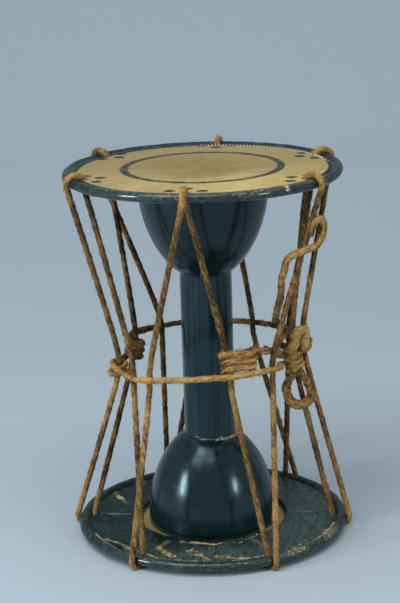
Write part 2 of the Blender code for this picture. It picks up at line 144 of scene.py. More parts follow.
# Hemp: soft, so a little fuller than its solid
ROPE_DIAMETER = 0.0040
TIED_DIAMETER = 0.0048
LOOP_DIAMETER = 0.0052
LOOP_SWELL = 0.0015
LOOP_NARROW = 0.90
ROPE_LAY = 0.026
TIED_LAY = 0.070
ROPE_STEP = 0.0008
ROPE_STRANDS = 3
ROPE_ROUNDNESS = 3
FLOOR_GAP = 0.00005
LOBE_MEAN = 0.64
FULL_GROOVE = 0.08
INNER_SHADE = 0.16
STREAK_SPREAD = 3.0
SEED_SHIFT = 11.3
FIBRE_PITCH = 0.0040
FIBRE_RADIUS = 0.00009
FIBRE_SHARES = (0.0, 0.35, 0.7, 1.0)
FIBRE_FLOOR_GAP = 0.0003
FIBRE_ROOT = 0.42
FIBRE_REACH = 0.7
FIBRE_DROOP = 0.4
FIBRE_LENGTHS = (0.0010, 0.0042)
FIBRE_LEANS = (0.5, 1.6)
FIBRE_CURLS = (-0.5, 0.5)
FIBRE_TONES = (-0.15, 0.2)
LOOP_BARE_STEPS = 14
BIGHT_START = 0.62

# Painted skin: the black band's circle is set towards the front on the upper head
PAINT_INNER = 0.0500
PAINT_OUTER = 0.0560
PETAL_SIDE = 0.0104
PETAL_SIDE_INSET = 0.0048
PETAL_INSET = 0.0112
PETAL_RADIUS = 0.0041
UPPER_BAND_RADIUS = 0.0853
UPPER_BAND_SHIFT = 0.0052
LOWER_BAND_RADIUS = 0.0850
PAINT_EDGE = 0.0006

# Stitches along the rims
STITCH_PITCH = 0.0026
STITCH_SIZE = (0.00055, 0.00125, 0.00050)
STITCH_RIM_OVERLAP = 0.0012
STITCH_STAND = 0.0002
BACK_STITCH_DEPTH = 0.0016
BACK_STITCH_INSET = 0.0009

# Uneven rims, and leather that is drawn in, torn, lifted and creased
OPENING_SETBACK = 0.0042
ROLL_LUMP = 0.00028
ROLL_RISE = 0.002
ROLL_LEAD = 0.0006
ROLL_CLEAR = 0.0003
POCKET_CLEAR = 0.0002
RIM_CROWN = 0.0016
RIM_BACK_WEAR = 0.25
RAGGED_COARSE = 0.0009
RAGGED_FINE = 0.0006
RAGGED_LEAST = 0.3
TORN_WIDTH = 0.012
TORN_BACK = 0.0010
LIFTED_WIDTH = 0.010
LIFTED_BACK = 0.0030
LIFTED_RAGGED = 2.6
LIFT_HEIGHT = 0.0020
CREASE_COARSE = 0.00070
CREASE_FINE = 0.00045
CREASE_STRENGTH = 1.4
CREASE_STARTS = 0.004
RIDGE_HEIGHT = 0.0014
RIDGE_WIDTH = 0.0022
RIDGE_BOW = 0.0035
RIDGE_OUTER_END = 0.0800
RIDGE_OUTER_EASE = 0.010
RIDGE_INNER_END = 0.054
RIDGE_INNER_EASE = 0.006

# Fineness of the turned pieces, their holes and the cords' curves
BODY_STEPS = 160
BOWL_ROWS = 30
BORE_ROWS = 14
STEM_ROWS = 12
BOWL_CROWDING = 1.6
SKIN_STEPS = 300
SKIN_SHARES = (0.0, 0.34, 0.67, 1.0)
ROLL_STEPS = 26
POCKET_STEPS = 14
FACING_STEPS = 360
FACING_ROWS = 34
HOLE_SIDES = 20
CURVE_PARTS = 3


def polar(angle, radius, height):
    """The point at an angle round the axis, a distance from it and a height."""
    turn = radians(angle)
    return Vector((radius * sin(turn), -radius * cos(turn), height))


def flat(point):
    """The point brought down to the floor."""
    return Vector((point.x, point.y, 0))


def outward(point):
    """The level direction away from the axis at a point."""
    return flat(point).normalized()


def angle_of(point):
    return degrees(atan2(point.x, -point.y))


def apart(first, second):
    """The size of the turn between two angles, in degrees."""
    return abs((first - second + 180) % 360 - 180)


def clamped(value):
    return min(1.0, max(0.0, value))


# Finishes


class Finish:
    """A procedural material on the Principled shader. Each method adds nodes and returns an output."""

    def __init__(self, name, **sockets):
        self.material = bpy.data.materials.new(name)
        self.material.use_nodes = True
        self.tree = self.material.node_tree
        self.shader = self.tree.nodes["Principled BSDF"]
        for socket, value in sockets.items():
            self.to(socket.replace("_", " "), value)
        self.place = self.add("TexCoord", output="Object")

    def put(self, value, socket):
        if isinstance(value, bpy.types.NodeSocket):
            self.tree.links.new(value, socket)
        else:
            socket.default_value = value

    def add(self, kind, inputs=None, output=0, **settings):
        node = self.tree.nodes.new("ShaderNode" + kind)
        for setting, value in settings.items():
            setattr(node, setting, value)
        for socket, value in (inputs or {}).items():
            self.put(value, node.inputs[socket])
        return node.outputs[output]

    def to(self, socket, value):
        """Set or link a socket of the shader."""
        self.put(value, self.shader.inputs[socket])

    def maths(self, operation, *values):
        return self.add("Math", dict(enumerate(values)), operation=operation)

    plus = partialmethod(maths, "ADD")
    minus = partialmethod(maths, "SUBTRACT")
    times = partialmethod(maths, "MULTIPLY")
    most = partialmethod(maths, "MAXIMUM")

    def from_line(self, value, line):
        """The distance of a value from a line, either side."""
        return self.maths("ABSOLUTE", self.minus(value, line))

    def split(self, vector):
        node = self.tree.nodes.new("ShaderNodeSeparateXYZ")
        self.put(vector, node.inputs[0])
        return node.outputs[0], node.outputs[1], node.outputs[2]

    def stretched(self, vector, scale):
        return self.add("Mapping", {"Vector": vector, "Scale": scale})

    def grain(self, vector, scale, detail=4.0, roughness=0.55, distortion=0.0):
        return self.add("TexNoise", {
            "Vector": vector, "Scale": scale, "Detail": detail, "Roughness": roughness, "Distortion": distortion})

    def cells(self, vector, scale):
        """The distance from the nearest edge between cells."""
        return self.add("TexVoronoi", {"Vector": vector, "Scale": scale}, "Distance", feature="DISTANCE_TO_EDGE")

    def ease(self, value, low, high, start=0.0, end=1.0):
        """A smooth step from start at low to end at high."""
        return self.add("MapRange", {
            "Value": value, "From Min": low, "From Max": high, "To Min": start, "To Max": end},
            interpolation_type="SMOOTHSTEP")

    def mixed(self, share, first, second):
        node = self.tree.nodes.new("ShaderNodeMix")
        node.data_type = "RGBA"
        for index, value in ((0, share), (6, first), (7, second)):
            if isinstance(value, tuple):
                value = (*value, 1.0)
            self.put(value, node.inputs[index])
        return node.outputs[2]

    def ramp(self, value, *stops):
        node = self.tree.nodes.new("ShaderNodeValToRGB")
        self.put(value, node.inputs[0])
        marks = node.color_ramp.elements
        while len(marks) < len(stops):
            marks.new(0.5)
        for mark, (position, colour) in zip(marks, stops):
            mark.position = position
            mark.color = (*colour, 1.0)
        return node.outputs[0]

    def painted(self, name):
        """A number kept on the piece's own points."""
        return self.add("Attribute", output="Fac", attribute_name=name)

    def relief(self, height, distance, under=None):
        inputs = {"Height": height, "Distance": distance, "Strength": 1.0}
        if under:
            inputs["Normal"] = under
        return self.add("Bump", inputs)

    def finished(self, colour, normal, roughness=None):
        """The material, with its colour, relief and roughness linked."""
        self.to("Base Color", colour)
        self.to("Normal", normal)
        if roughness:
            self.to("Roughness", roughness)
        return self.material


def body_lacquer():
    """Black lacquer with a blue-green depth, streaked along the grain, chipped at the shoulders and darker on the
    upper bowl as painted shade.
    """
    look = Finish("body_lacquer", Specular_IOR_Level=0.56, Specular_Tint=(0.62, 0.91, 1.0, 1.0))
    x, _, height = look.split(look.place)
    cloud = look.grain(look.place, 26.0, 3.0)
    colour = look.ramp(cloud, (0.3, (0.0018, 0.0115, 0.0130)), (0.7, (0.0034, 0.0178, 0.0195)))
    streak = look.grain(look.stretched(look.place, (420.0, 420.0, 5.0)), 1.0, 4.0, 0.6)
    colour = look.mixed(look.ease(streak, 0.47, 0.70, 0.0, 0.6), colour, (0.0060, 0.0200, 0.0230))
    # Painted shade: the upper bowl is darker, where the head above shades it
    upper_bowl_shade = look.ease(height, UPPER_SHOULDER - 0.004, UPPER_SHOULDER + 0.020, 0.0, 0.85)
    colour = look.mixed(upper_bowl_shade, colour, (0.0, 0.0010, 0.0005))

    # Chips along the two shoulders, more of them on the right of the lower one
    low_edge = look.ease(look.from_line(height, LOWER_SHOULDER + 0.0003), 0.0003, 0.0017, 1.0, 0.0)
    high_edge = look.ease(look.from_line(height, UPPER_SHOULDER), 0.0, 0.0010, 0.24, 0.0)
    near = look.most(look.times(low_edge, look.ease(x, -0.004, 0.012, 0.27, 0.47)), high_edge)
    flake = look.grain(look.place, 330.0, 6.0, 0.7)
    worn = look.ease(look.plus(near, flake), 0.88, 0.93)
    colour = look.mixed(worn, colour, (0.36, 0.25, 0.13))

    gloss = look.plus(look.ease(streak, 0.3, 0.75, 0.17, 0.28), look.times(worn, 0.4))
    wave = look.grain(look.stretched(look.place, (1.0, 1.0, 0.45)), 55.0, 2.0)
    return look.finished(colour, look.relief(wave, 0.00025), gloss)


def painted_hide(name, front_height, holes, band_radius, band_shift):
    """Tan hide with a brushed black ring, dark petals round the cord holes and a black band on the rim."""
    look = Finish(name, Specular_IOR_Level=0.26, Specular_Tint=(0.7, 0.95, 1.0, 1.0), Coat_Roughness=0.13)
    drift = look.add("TexNoise", {"Vector": look.place, "Scale": 150.0, "Detail": 4.0}, "Color")
    drift = look.add("VectorMath", {0: drift, 1: (0.5, 0.5, 0.5)}, operation="SUBTRACT")
    drawn = look.add("VectorMath", {0: drift, 1: (0.0020, 0.0020, 0.0), 2: look.place}, operation="MULTIPLY_ADD")
    x, y, _ = look.split(drawn)

    def circle_distance(shift):
        back = look.plus(y, shift)
        return look.maths("SQRT", look.plus(look.times(x, x), look.times(back, back)))

    radius = circle_distance(0.0)
    band = look.ease(circle_distance(band_shift), band_radius - 0.0003, band_radius + 0.0004)

    # Hide: streaked and clouded, browner where it is struck, darker towards the left, and paler at the front and
    # darker at the back as painted light
    mottle = look.grain(look.place, 30.0, 6.0, 0.62, 0.8)
    fine = look.grain(look.stretched(look.place, (70.0, 300.0, 70.0)), 1.0, 5.0, 0.65)
    hide = look.ramp(mottle, (0.32, (0.42, 0.305, 0.095)), (0.5, (0.53, 0.400, 0.140)),
                     (0.68, (0.62, 0.490, 0.195)))
    hide = look.mixed(look.ease(fine, 0.48, 0.70, 0.0, 0.55), hide, (0.33, 0.225, 0.075))
    # Painted light: paler at the front, darker towards the back
    hide = look.mixed(look.ease(y, -0.080, 0.03, 0.0, 0.76), hide, (0.265, 0.205, 0.085))
    hide = look.mixed(look.ease(x, -0.080, 0.045, 0.40, 0.0), hide, (0.26, 0.205, 0.090))
    struck = look.ease(radius, 0.012, PAINT_INNER + 0.003, 0.85, 0.30)
    struck = look.plus(struck, look.ease(mottle, 0.35, 0.65, 0.22, -0.22))
    inside = look.ease(radius, PAINT_INNER - 0.0005, PAINT_INNER, 1.0, 0.0)
    brown = look.ramp(fine, (0.35, (0.265, 0.195, 0.066)), (0.52, (0.235, 0.160, 0.048)),
                      (0.66, (0.34, 0.218, 0.056)))
    hide = look.mixed(look.times(struck, inside), hide, brown)

    # Paint: the ring, the petals at each hole, and the band, which is lacquered and doesn't wear thin
    paint = look.times(look.ease(radius, PAINT_INNER, PAINT_INNER + PAINT_EDGE),
                       look.ease(radius, PAINT_OUTER - PAINT_EDGE, PAINT_OUTER, 1.0, 0.0))
    petals = ((-PETAL_SIDE, PETAL_SIDE_INSET), (PETAL_SIDE, PETAL_SIDE_INSET), (0.0, PETAL_INSET))
    for angle in holes:
        along = Matrix.Rotation(radians(angle), 4, "Z")
        for across, inset in petals:
            spot = along @ Vector((across, inset - HOLE_CIRCLE_RADIUS, front_height))
            off = look.add("VectorMath", {0: drawn, 1: spot}, "Value", operation="DISTANCE")
            paint = look.most(paint, look.ease(off, PETAL_RADIUS - PAINT_EDGE, PETAL_RADIUS, 1.0, 0.0))
    thin = look.ease(look.grain(look.place, 300.0, 4.0, 0.65), 0.36, 0.56, 0.60, 1.0)
    paint = look.most(look.times(paint, thin), band)

    # Lacquer of the band, scuffed grey and flaked where the piece is worn
    cloud = look.grain(look.place, 300.0, 6.0, 0.70)
    black = look.ramp(cloud, (0.36, (0.0008, 0.008, 0.008)), (0.5, (0.0036, 0.018, 0.018)),
                      (0.66, (0.034, 0.066, 0.064)))
    flake = look.grain(look.place, 760.0, 6.0, 0.75, 0.6)
    worn = look.ease(look.plus(look.times(look.painted("wear"), 0.27), flake), 0.70, 0.76)
    worn = look.times(worn, band)
    bare = look.ramp(look.grain(look.place, 420.0, 3.0), (0.38, (0.20, 0.145, 0.060)),
                     (0.50, (0.34, 0.275, 0.140)), (0.62, (0.52, 0.49, 0.38)))
    black = look.mixed(worn, black, bare)
    gloss = look.plus(look.ease(cloud, 0.3, 0.7, 0.20, 0.38), look.times(worn, 0.3))
    gloss = look.add("Mix", {0: band, 2: 0.6, 3: gloss}, data_type="FLOAT")
    polish = look.times(look.ease(worn, 0.0, 0.6, 1.0, 0.0), look.ease(y, -0.085, -0.030, 0.85, 0.06))
    look.to("Coat Weight", look.times(band, polish))
    pores = look.grain(look.place, 900.0, 3.0)
    lumps = look.times(look.minus(cloud, look.times(worn, 0.25)), band)
    normal = look.relief(pores, 0.00006, look.relief(lumps, 0.0008))
    return look.finished(look.mixed(paint, hide, black), normal, gloss)


def facing_lacquer(name):
    """Lacquered leather on the back of a head: creased, scuffed grey and flaked to the tan leather, with a painted
    sheen towards the right and the front and a painted highlight on its raised creases.
    """
    look = Finish(name, Specular_IOR_Level=0.24, Specular_Tint=(0.6, 0.95, 1.0, 1.0))
    cloud = look.grain(look.place, 55.0, 6.0, 0.64, 0.5)
    colour = look.ramp(cloud, (0.36, (0.0008, 0.0065, 0.0068)), (0.52, (0.0030, 0.0140, 0.0140)),
                       (0.70, (0.022, 0.044, 0.042)))
    scuff = look.grain(look.stretched(look.place, (420.0, 120.0, 120.0)), 1.0, 5.0, 0.66)
    colour = look.mixed(look.ease(scuff, 0.54, 0.72, 0.0, 0.45), colour, (0.080, 0.105, 0.096))
    x, y, _ = look.split(look.place)
    # Painted sheen: lighter towards the right and the front, broken up by the scuffs
    rubbed = look.most(look.ease(x, -0.010, 0.060, 0.0, 0.56), look.ease(y, -0.075, -0.045, 0.72, 0.0))
    rubbed = look.times(rubbed, look.ease(scuff, 0.38, 0.58, 0.35, 1.3))
    colour = look.mixed(rubbed, colour, (0.068, 0.100, 0.090))
    # Painted highlight on the creases in from the holes and where the fine creases rise
    raised = look.ease(look.painted("ridge"), 0.38, 0.95, 0.0, 0.75)
    colour = look.mixed(raised, colour, (0.125, 0.128, 0.105))
    flake = look.grain(look.place, 360.0, 6.0, 0.72, 0.8)
    worn = look.ease(look.plus(look.times(look.painted("wear"), 0.42), flake), 0.81, 0.86)
    tan = look.ramp(look.grain(look.place, 330.0, 4.0), (0.36, (0.15, 0.105, 0.038)),
                    (0.50, (0.36, 0.265, 0.105)), (0.62, (0.66, 0.56, 0.33)))
    gloss = look.plus(look.ease(cloud, 0.3, 0.7, 0.32, 0.52), look.times(worn, 0.25))
    cracks = look.ease(look.cells(look.place, 190.0), 0.0, 0.09)
    creased = look.relief(look.plus(cloud, look.times(cracks, 0.06)), 0.0012)
    normal = look.relief(look.minus(flake, worn), 0.0003, creased)
    return look.finished(look.mixed(worn, colour, tan), normal, gloss)


def hemp(name):
    """Twisted hemp: streaks run along each strand, with painted shade in the grooves; each cord's tone makes it
    paler and darker in stretches, some of them painted light and shade.
    """
    look = Finish(name, Roughness=0.9, Specular_IOR_Level=0.2)
    along = look.add("Attribute", output="Vector", attribute_name="fibre")
    streak = look.grain(along, 1.0, 5.0, 0.70, 0.3)
    fine = look.grain(look.stretched(along, (3.5, 3.5, 2.0)), 1.0, 4.0, 0.70)
    patch = look.grain(look.place, 85.0, 4.0, 0.6)
    tuft = look.grain(look.place, 430.0, 4.0, 0.7, 0.4)

    # The tone kept on the points holds painted light and painted shade besides each cord's own paler and darker
    # stretches
    value = 0.5
    for layer, share in (
            (look.painted("tone"), 0.85), (streak, 1.15), (fine, 1.05), (patch, 0.85), (tuft, 0.70)):
        value = look.plus(value, look.times(look.minus(layer, 0.5), share))
    # Painted shade in the grooves between the strands
    value = look.plus(value, look.ease(look.painted("strand"), 0.0, 0.55, -0.26, 0.03))
    stops = (0.08, 0.30, 0.50, 0.70, 0.95)
    colour = look.ramp(value, *zip(stops, (
        (0.014, 0.008, 0.003), (0.090, 0.050, 0.018), (0.245, 0.134, 0.046), (0.48, 0.268, 0.078),
        (0.68, 0.430, 0.143))))
    faded = look.ramp(value, *zip(stops, (
        (0.010, 0.009, 0.003), (0.074, 0.054, 0.021), (0.205, 0.148, 0.060), (0.41, 0.300, 0.112),
        (0.62, 0.470, 0.190))))
    fading = look.ease(look.grain(look.place, 48.0, 3.0), 0.46, 0.62, 0.0, 0.38)
    rough = look.relief(look.plus(look.times(fine, 0.6), look.times(streak, 0.4)), 0.0007)
    return look.finished(look.mixed(fading, colour, faded), look.relief(tuft, 0.0006, rough))


def stitch_thread():
    """Pale thread, blackened by the lacquer where it isn't worn."""
    look = Finish("stitch_thread", Roughness=0.7)
    fray = look.grain(look.place, 700.0, 3.0)
    bare = look.ease(look.plus(look.painted("wear"), look.minus(fray, 0.5)), 0.35, 0.65)
    colour = look.mixed(bare, (0.016, 0.028, 0.029), (0.56, 0.52, 0.40))
    return look.finished(colour, look.relief(fray, 0.0002))


def forged_iron():
    """Bare iron, unevenly dark from the fire."""
    look = Finish("forged_iron", Metallic=1.0)
    scale = look.grain(look.place, 240.0, 5.0)
    colour = look.ramp(scale, (0.3, (0.055, 0.045, 0.040)), (0.7, (0.16, 0.14, 0.13)))
    return look.finished(colour, look.relief(scale, 0.0002), look.ease(scale, 0.3, 0.7, 0.45, 0.75))


def soft_deerskin():
    """Pale, matt leather with a nap."""
    look = Finish("soft_deerskin", Sheen_Weight=0.4, Roughness=0.9)
    nap = look.grain(look.place, 600.0, 5.0)
    colour = look.ramp(nap, (0.3, (0.42, 0.30, 0.17)), (0.7, (0.60, 0.47, 0.30)))
    return look.finished(colour, look.relief(nap, 0.0003))


# Pieces


def show(thing):
    """Link an object into the scene."""
    bpy.context.scene.collection.objects.link(thing)
    return thing


def stored(bm, name):
    """A named mesh with what a working mesh holds. The working mesh is freed."""
    mesh = bpy.data.meshes.new(name)
    bm.to_mesh(mesh)
    bm.free()
    return mesh


def worked_out(thing):
    """The mesh of an object with its cuts or its bevel made."""
    bpy.context.view_layer.update()
    shaped = thing.evaluated_get(bpy.context.evaluated_depsgraph_get())
    return bpy.data.meshes.new_from_object(shaped)


def place(name, mesh, look, body, slot, *nodes):
    """Put a finished mesh in the scene, on its body, in the place of its solids."""
    mesh.materials.clear()
    mesh.materials.append(look)
    piece = show(bpy.data.objects.new(name, mesh))
    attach(piece, body)
    if nodes:
        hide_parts(*nodes)
    return piece


def keep_number(mesh, name, values):
    """Store one number for each point of a mesh."""
    mesh.attributes.new(name, "FLOAT", "POINT").data.foreach_set("value", values)


def keep_hemp(mesh, fibre, strand, tone):
    """Store what the hemp finish reads at each point: where it is on the fibre, its groove, which the finish
    darkens as painted shade, and its tone, which holds painted light and shade in places.
    """
    mesh.attributes.new("fibre", "FLOAT_VECTOR", "POINT").data.foreach_set("vector", fibre)
    keep_number(mesh, "strand", strand)
    keep_number(mesh, "tone", tone)


def turn(profile, steps, closed):
    """A mesh of (radius, height) pairs turned round the axis."""
    bm = bmesh.new()
    points = [bm.verts.new((radius, 0, height)) for radius, height in profile]
    edges = [bm.edges.new(pair) for pair in zip(points, points[1:])]
    if closed:
        edges.append(bm.edges.new((points[-1], points[0])))
    bmesh.ops.spin(bm, geom=points + edges, axis=(0, 0, 1), cent=(0, 0, 0), steps=steps, angle=2 * pi,
                   use_merge=True)
    bmesh.ops.remove_doubles(bm, verts=bm.verts, dist=0.000001)
    bmesh.ops.recalc_face_normals(bm, faces=bm.faces)
    for face in bm.faces:
        face.smooth = True
    return bm


def arc(centre, radius, start, end, steps):
    """Points (radius, height) along an arc round centre, from start to end in degrees."""
    turns = [radians(start + (end - start) * i / steps) for i in range(steps + 1)]
    return [(centre[0] + radius * cos(around), centre[1] + radius * sin(around)) for around in turns]


def bowl_radius(share, mouth, throat):
    """The swelling bowl wall: throat at share 0, mouth at share 1."""
    return throat + (mouth - throat) * (1 - (1 - share) ** BOWL_SWELL) ** BOWL_ROUND


def body_end(shoulder, mouth_height, bowl_height, way):
    """One end of the body: its outside from the mouth to the stem, and its bore from there back to the mouth."""
    outside = [(MOUTH_RADIUS - LIP_EASE, mouth_height)]
    for i in range(BOWL_ROWS + 1):
        share = (1 - i / BOWL_ROWS) ** BOWL_CROWDING
        height = way * min(way * (shoulder + way * share * bowl_height), way * mouth_height - LIP_EASE)
        outside.append((bowl_radius(share, MOUTH_RADIUS, SHOULDER_RADIUS), height))
    ease_in, ease_down = SHOULDER_EASE
    outside += [(SHOULDER_RADIUS - ease_in, shoulder - way * ease_down),
                (STEM_RADIUS + SHOULDER_FOOT, shoulder - way * SHOULDER_DEPTH),
                (STEM_RADIUS, shoulder - way * SHOULDER_DEPTH - way * LIP_EASE)]
    bore = []
    for i in range(BORE_ROWS + 1):
        share = BORE_REACH * (i / BORE_ROWS) ** BOWL_CROWDING
        bore.append((bowl_radius(share, MOUTH_RADIUS - BOWL_WALL, STEM_BORE_RADIUS),
                     shoulder + way * share * bowl_height))
    return outside, bore + [(MOUTH_RADIUS - MOUTH_LIP, mouth_height)]


def make_body(look):
    """The turned body, with eased lips and shoulders."""
    upper, upper_bore = body_end(UPPER_SHOULDER, UPPER_MOUTH_HEIGHT, UPPER_BOWL_HEIGHT, 1)
    lower, lower_bore = body_end(LOWER_SHOULDER, LOWER_MOUTH_HEIGHT, LOWER_BOWL_HEIGHT, -1)
    top, foot = upper[-1][1], lower[-1][1]
    stem = [(STEM_RADIUS, top + (foot - top) * i / STEM_ROWS) for i in range(1, STEM_ROWS)]
    profile = upper + stem + lower[::-1] + lower_bore[::-1] + upper_bore
    mesh = stored(turn(profile, BODY_STEPS, True), "lacquered_body")
    place("lacquered_body", mesh, look, "drum", "black_lacquer", "drum_body")


def drilled(bm, name, holes, height):
    """The mesh of a head's layer with its six cord holes cut."""
    mesh = stored(bm, name)
    punch = bmesh.new()
    for angle in holes:
        spot = polar(angle, HOLE_CIRCLE_RADIUS, height)
        bmesh.ops.create_cone(punch, cap_ends=True, segments=HOLE_SIDES, radius1=HOLE_RADIUS,
                              radius2=HOLE_RADIUS, depth=4 * ROLL_RADIUS, matrix=Matrix.Translation(spot))
    punch_mesh = stored(punch, name + "_punch")
    sheet = show(bpy.data.objects.new(name, mesh))
    cutter = show(bpy.data.objects.new(name + "_punch", punch_mesh))
    cut = sheet.modifiers.new("Holes", "BOOLEAN")
    cut.operation = "DIFFERENCE"
    cut.object = cutter
    result = worked_out(sheet)
    for made in (sheet, cutter):
        bpy.data.objects.remove(made)
    for used in (mesh, punch_mesh):
        bpy.data.meshes.remove(used)
    result.name = name
    return result


def worn_at(angle, arcs):
    """How worn a rim or edge is at an angle: arcs are (angle, half width, strength)."""
    return max([strength * exp(-(apart(angle, middle) / width) ** 2) for middle, width, strength in arcs],
               default=0.0)


def make_skin(name, height, side, holes, worn_arcs, look, node):
    """The hide, lapped round its iron ring, with the unevenness of a hand-rolled rim."""
    pocket = RING_WIRE_RADIUS + FIT_GAP
    back_meets = RING_RADIUS - sqrt(pocket ** 2 - SKIN_BACK ** 2)
    outer_start = 180 - degrees(asin(SKIN_FRONT / ROLL_RADIUS))
    inner_end = 180 - degrees(asin(SKIN_BACK / pocket))
    flat_edge = HOLE_CIRCLE_RADIUS - 2 * HOLE_RADIUS
    front = [(flat_edge * share, SKIN_FRONT) for share in SKIN_SHARES]
    skin = front + [(ROLL_MEETS - ROLL_LEAD, SKIN_FRONT), (ROLL_MEETS, SKIN_FRONT)]
    skin += arc((RING_RADIUS, 0), ROLL_RADIUS, outer_start, LAP_END, ROLL_STEPS)[1:]
    skin += arc((RING_RADIUS, 0), pocket, LAP_END, inner_end, POCKET_STEPS)[:-1]
    skin += [(back_meets, SKIN_BACK)] + [(radius, SKIN_BACK) for radius, _ in reversed(front)]
    bm = turn([(radius, height + side * z) for radius, z in skin], SKIN_STEPS, False)
    for point in bm.verts:
        radius = hypot(point.co.x, point.co.y)
        if radius > ROLL_MEETS + ROLL_CLEAR:
            lump = noise.noise(point.co * 70.0 + Vector((0, 0, side))) * ROLL_LUMP
            lump += noise.noise(point.co * 260.0) * ROLL_LUMP / 2
            middle = outward(point.co) * RING_RADIUS + Vector((0, 0, height))
            rising = min(1.0, (radius - ROLL_MEETS) / ROLL_RISE)
            if (point.co - middle).length > pocket + POCKET_CLEAR:
                point.co += (point.co - middle).normalized() * lump * rising
    mesh = drilled(bm, name, holes, height)
    wear = []
    for vertex in mesh.vertices:
        rise = vertex.co.z - height
        shown = clamped(rise / RIM_CROWN) if side < 0 else 1.0 if rise > 0 else RIM_BACK_WEAR
        wear.append(worn_at(angle_of(vertex.co), worn_arcs) * shown)
    keep_number(mesh, "wear", wear)
    place(name, mesh, look, "drum", "tan_hide", node)


def flake_wear(point, worn_strokes):
    """How flaked a facing is: strokes are (angle, radius, angle, radius, spread, strength)."""
    spot = flat(point)
    most = 0.0
    for first_angle, first_radius, second_angle, second_radius, spread, strength in worn_strokes:
        first = polar(first_angle, first_radius, 0)
        reach = polar(second_angle, second_radius, 0) - first
        share = clamped((spot - first).dot(reach) / max(reach.length_squared, 1e-12))
        most = max(most, strength * exp(-((spot - first - reach * share).length / spread) ** 2))
    return most


def hole_ridge(point, holes):
    """1 along the crease that leads in from a cord hole, falling to 0 beside it and at its ends."""
    spot = flat(point)
    nearest = min((polar(angle, 1.0, 0) for angle in holes), key=lambda out: -spot.dot(out))
    inward = spot.dot(nearest)
    bow = RIDGE_BOW * sin((inward - FACING_OPENING_RADIUS) / (HOLE_CIRCLE_RADIUS - FACING_OPENING_RADIUS) * pi)
    across = spot.dot(Vector((-nearest.y, nearest.x, 0))) - bow
    ends = clamped((RIDGE_OUTER_END - inward) / RIDGE_OUTER_EASE)
    ends *= clamped((inward - RIDGE_INNER_END) / RIDGE_INNER_EASE)
    return exp(-(across / RIDGE_WIDTH) ** 2) * ends


def make_facing(name, height, side, holes, torn_edge, lifted, worn_strokes, look, node):
    """The leather on a head's back: creased towards each cord hole, torn at its inner edge and lifted."""
    front = SKIN_BACK - FIT_GAP
    back = front - FACING_THICKNESS
    edge = RING_RADIUS - ROLL_RADIUS - FIT_GAP
    profile = [(FACING_OPENING_RADIUS, front), (edge, front)]
    profile += [(edge - (edge - FACING_OPENING_RADIUS) * i / FACING_ROWS, back) for i in range(FACING_ROWS + 1)]
    bm = turn([(radius, height + side * z) for radius, z in profile], FACING_STEPS, True)
    floor = height + side * front
    for point in bm.verts:
        angle = angle_of(point.co)
        radius = hypot(point.co.x, point.co.y)
        inner_share = max(0.0, 1 - (radius - FACING_OPENING_RADIUS) / TORN_WIDTH)
        ragged = noise.noise(polar(angle, 1.0, 0) * 14.0) * RAGGED_COARSE
        ragged += noise.noise(polar(angle, 1.0, 3.0) * 45.0) * RAGGED_FINE
        torn = worn_at(angle, torn_edge)
        shift = ragged * (RAGGED_LEAST + torn) + TORN_BACK * torn - OPENING_SETBACK * cos(radians(angle))
        shift *= inner_share
        outer_share = max(0.0, 1 - (edge - radius) / LIFTED_WIDTH)
        lift = worn_at(angle, lifted)
        shift -= outer_share * lift * (LIFTED_BACK + LIFTED_RAGGED * abs(ragged))
        rising = 0.0
        if abs(point.co.z - floor) > FACING_THICKNESS / 2:
            crease = noise.noise(point.co * 45.0) * CREASE_COARSE + noise.noise(point.co * 150.0) * CREASE_FINE
            settled = min(1.0, (edge - radius) / CREASE_STARTS) if lift < 0.2 else 1.0
            rising = RIDGE_HEIGHT * hole_ridge(point.co, holes) + CREASE_STRENGTH * crease * settled
            rising += LIFT_HEIGHT * lift * outer_share ** 2
        moved = outward(point.co) * (radius + shift)
        point.co = Vector((moved.x, moved.y, point.co.z - side * rising))
    mesh = drilled(bm, name, holes, height)
    places = [vertex.co.copy() for vertex in mesh.vertices]
    keep_number(mesh, "wear", [flake_wear(point, worn_strokes) for point in places])
    # This number marks the painted highlight: along the crease in from each hole and where the fine creases rise
    keep_number(mesh, "ridge", [
        hole_ridge(point, holes) + max(0.0, noise.noise(point * 150.0)) * 0.7 for point in places])
    place(name, mesh, look, "drum", "lacquered_leather", node)


def make_stitches(name, height, radius, shift, bare_arcs, look):
    """One ring of short stitches on a circle, where it lies clear of the rolled rim."""
    count = int(2 * pi * radius / STITCH_PITCH)
    bm = bmesh.new()
    bare = []
    for k in range(count):
        angle = 360 * k / count
        spot = polar(angle, radius, height) - Vector((0, shift, 0))
        if spot.xy.length > ROLL_MEETS + STITCH_RIM_OVERLAP:
            continue
        before = len(bm.verts)
        stand = (Matrix.Translation(spot) @ Matrix.Rotation(radians(angle), 4, "Z")
                 @ Matrix.Diagonal((*STITCH_SIZE, 1.0)))
        bmesh.ops.create_uvsphere(bm, u_segments=6, v_segments=5, radius=1.0, matrix=stand)
        bare += [worn_at(angle_of(spot), bare_arcs)] * (len(bm.verts) - before)
    for face in bm.faces:
        face.smooth = True
    mesh = stored(bm, name)
    keep_number(mesh, "wear", bare)
    place(name, mesh, look, "drum", "tan_hide")


# Cord


def blend(first, second, start, end, at):
    """Part of the way from first, at start, to second, at end."""
    return first * ((end - at) / (end - start)) + second * ((at - start) / (end - start))


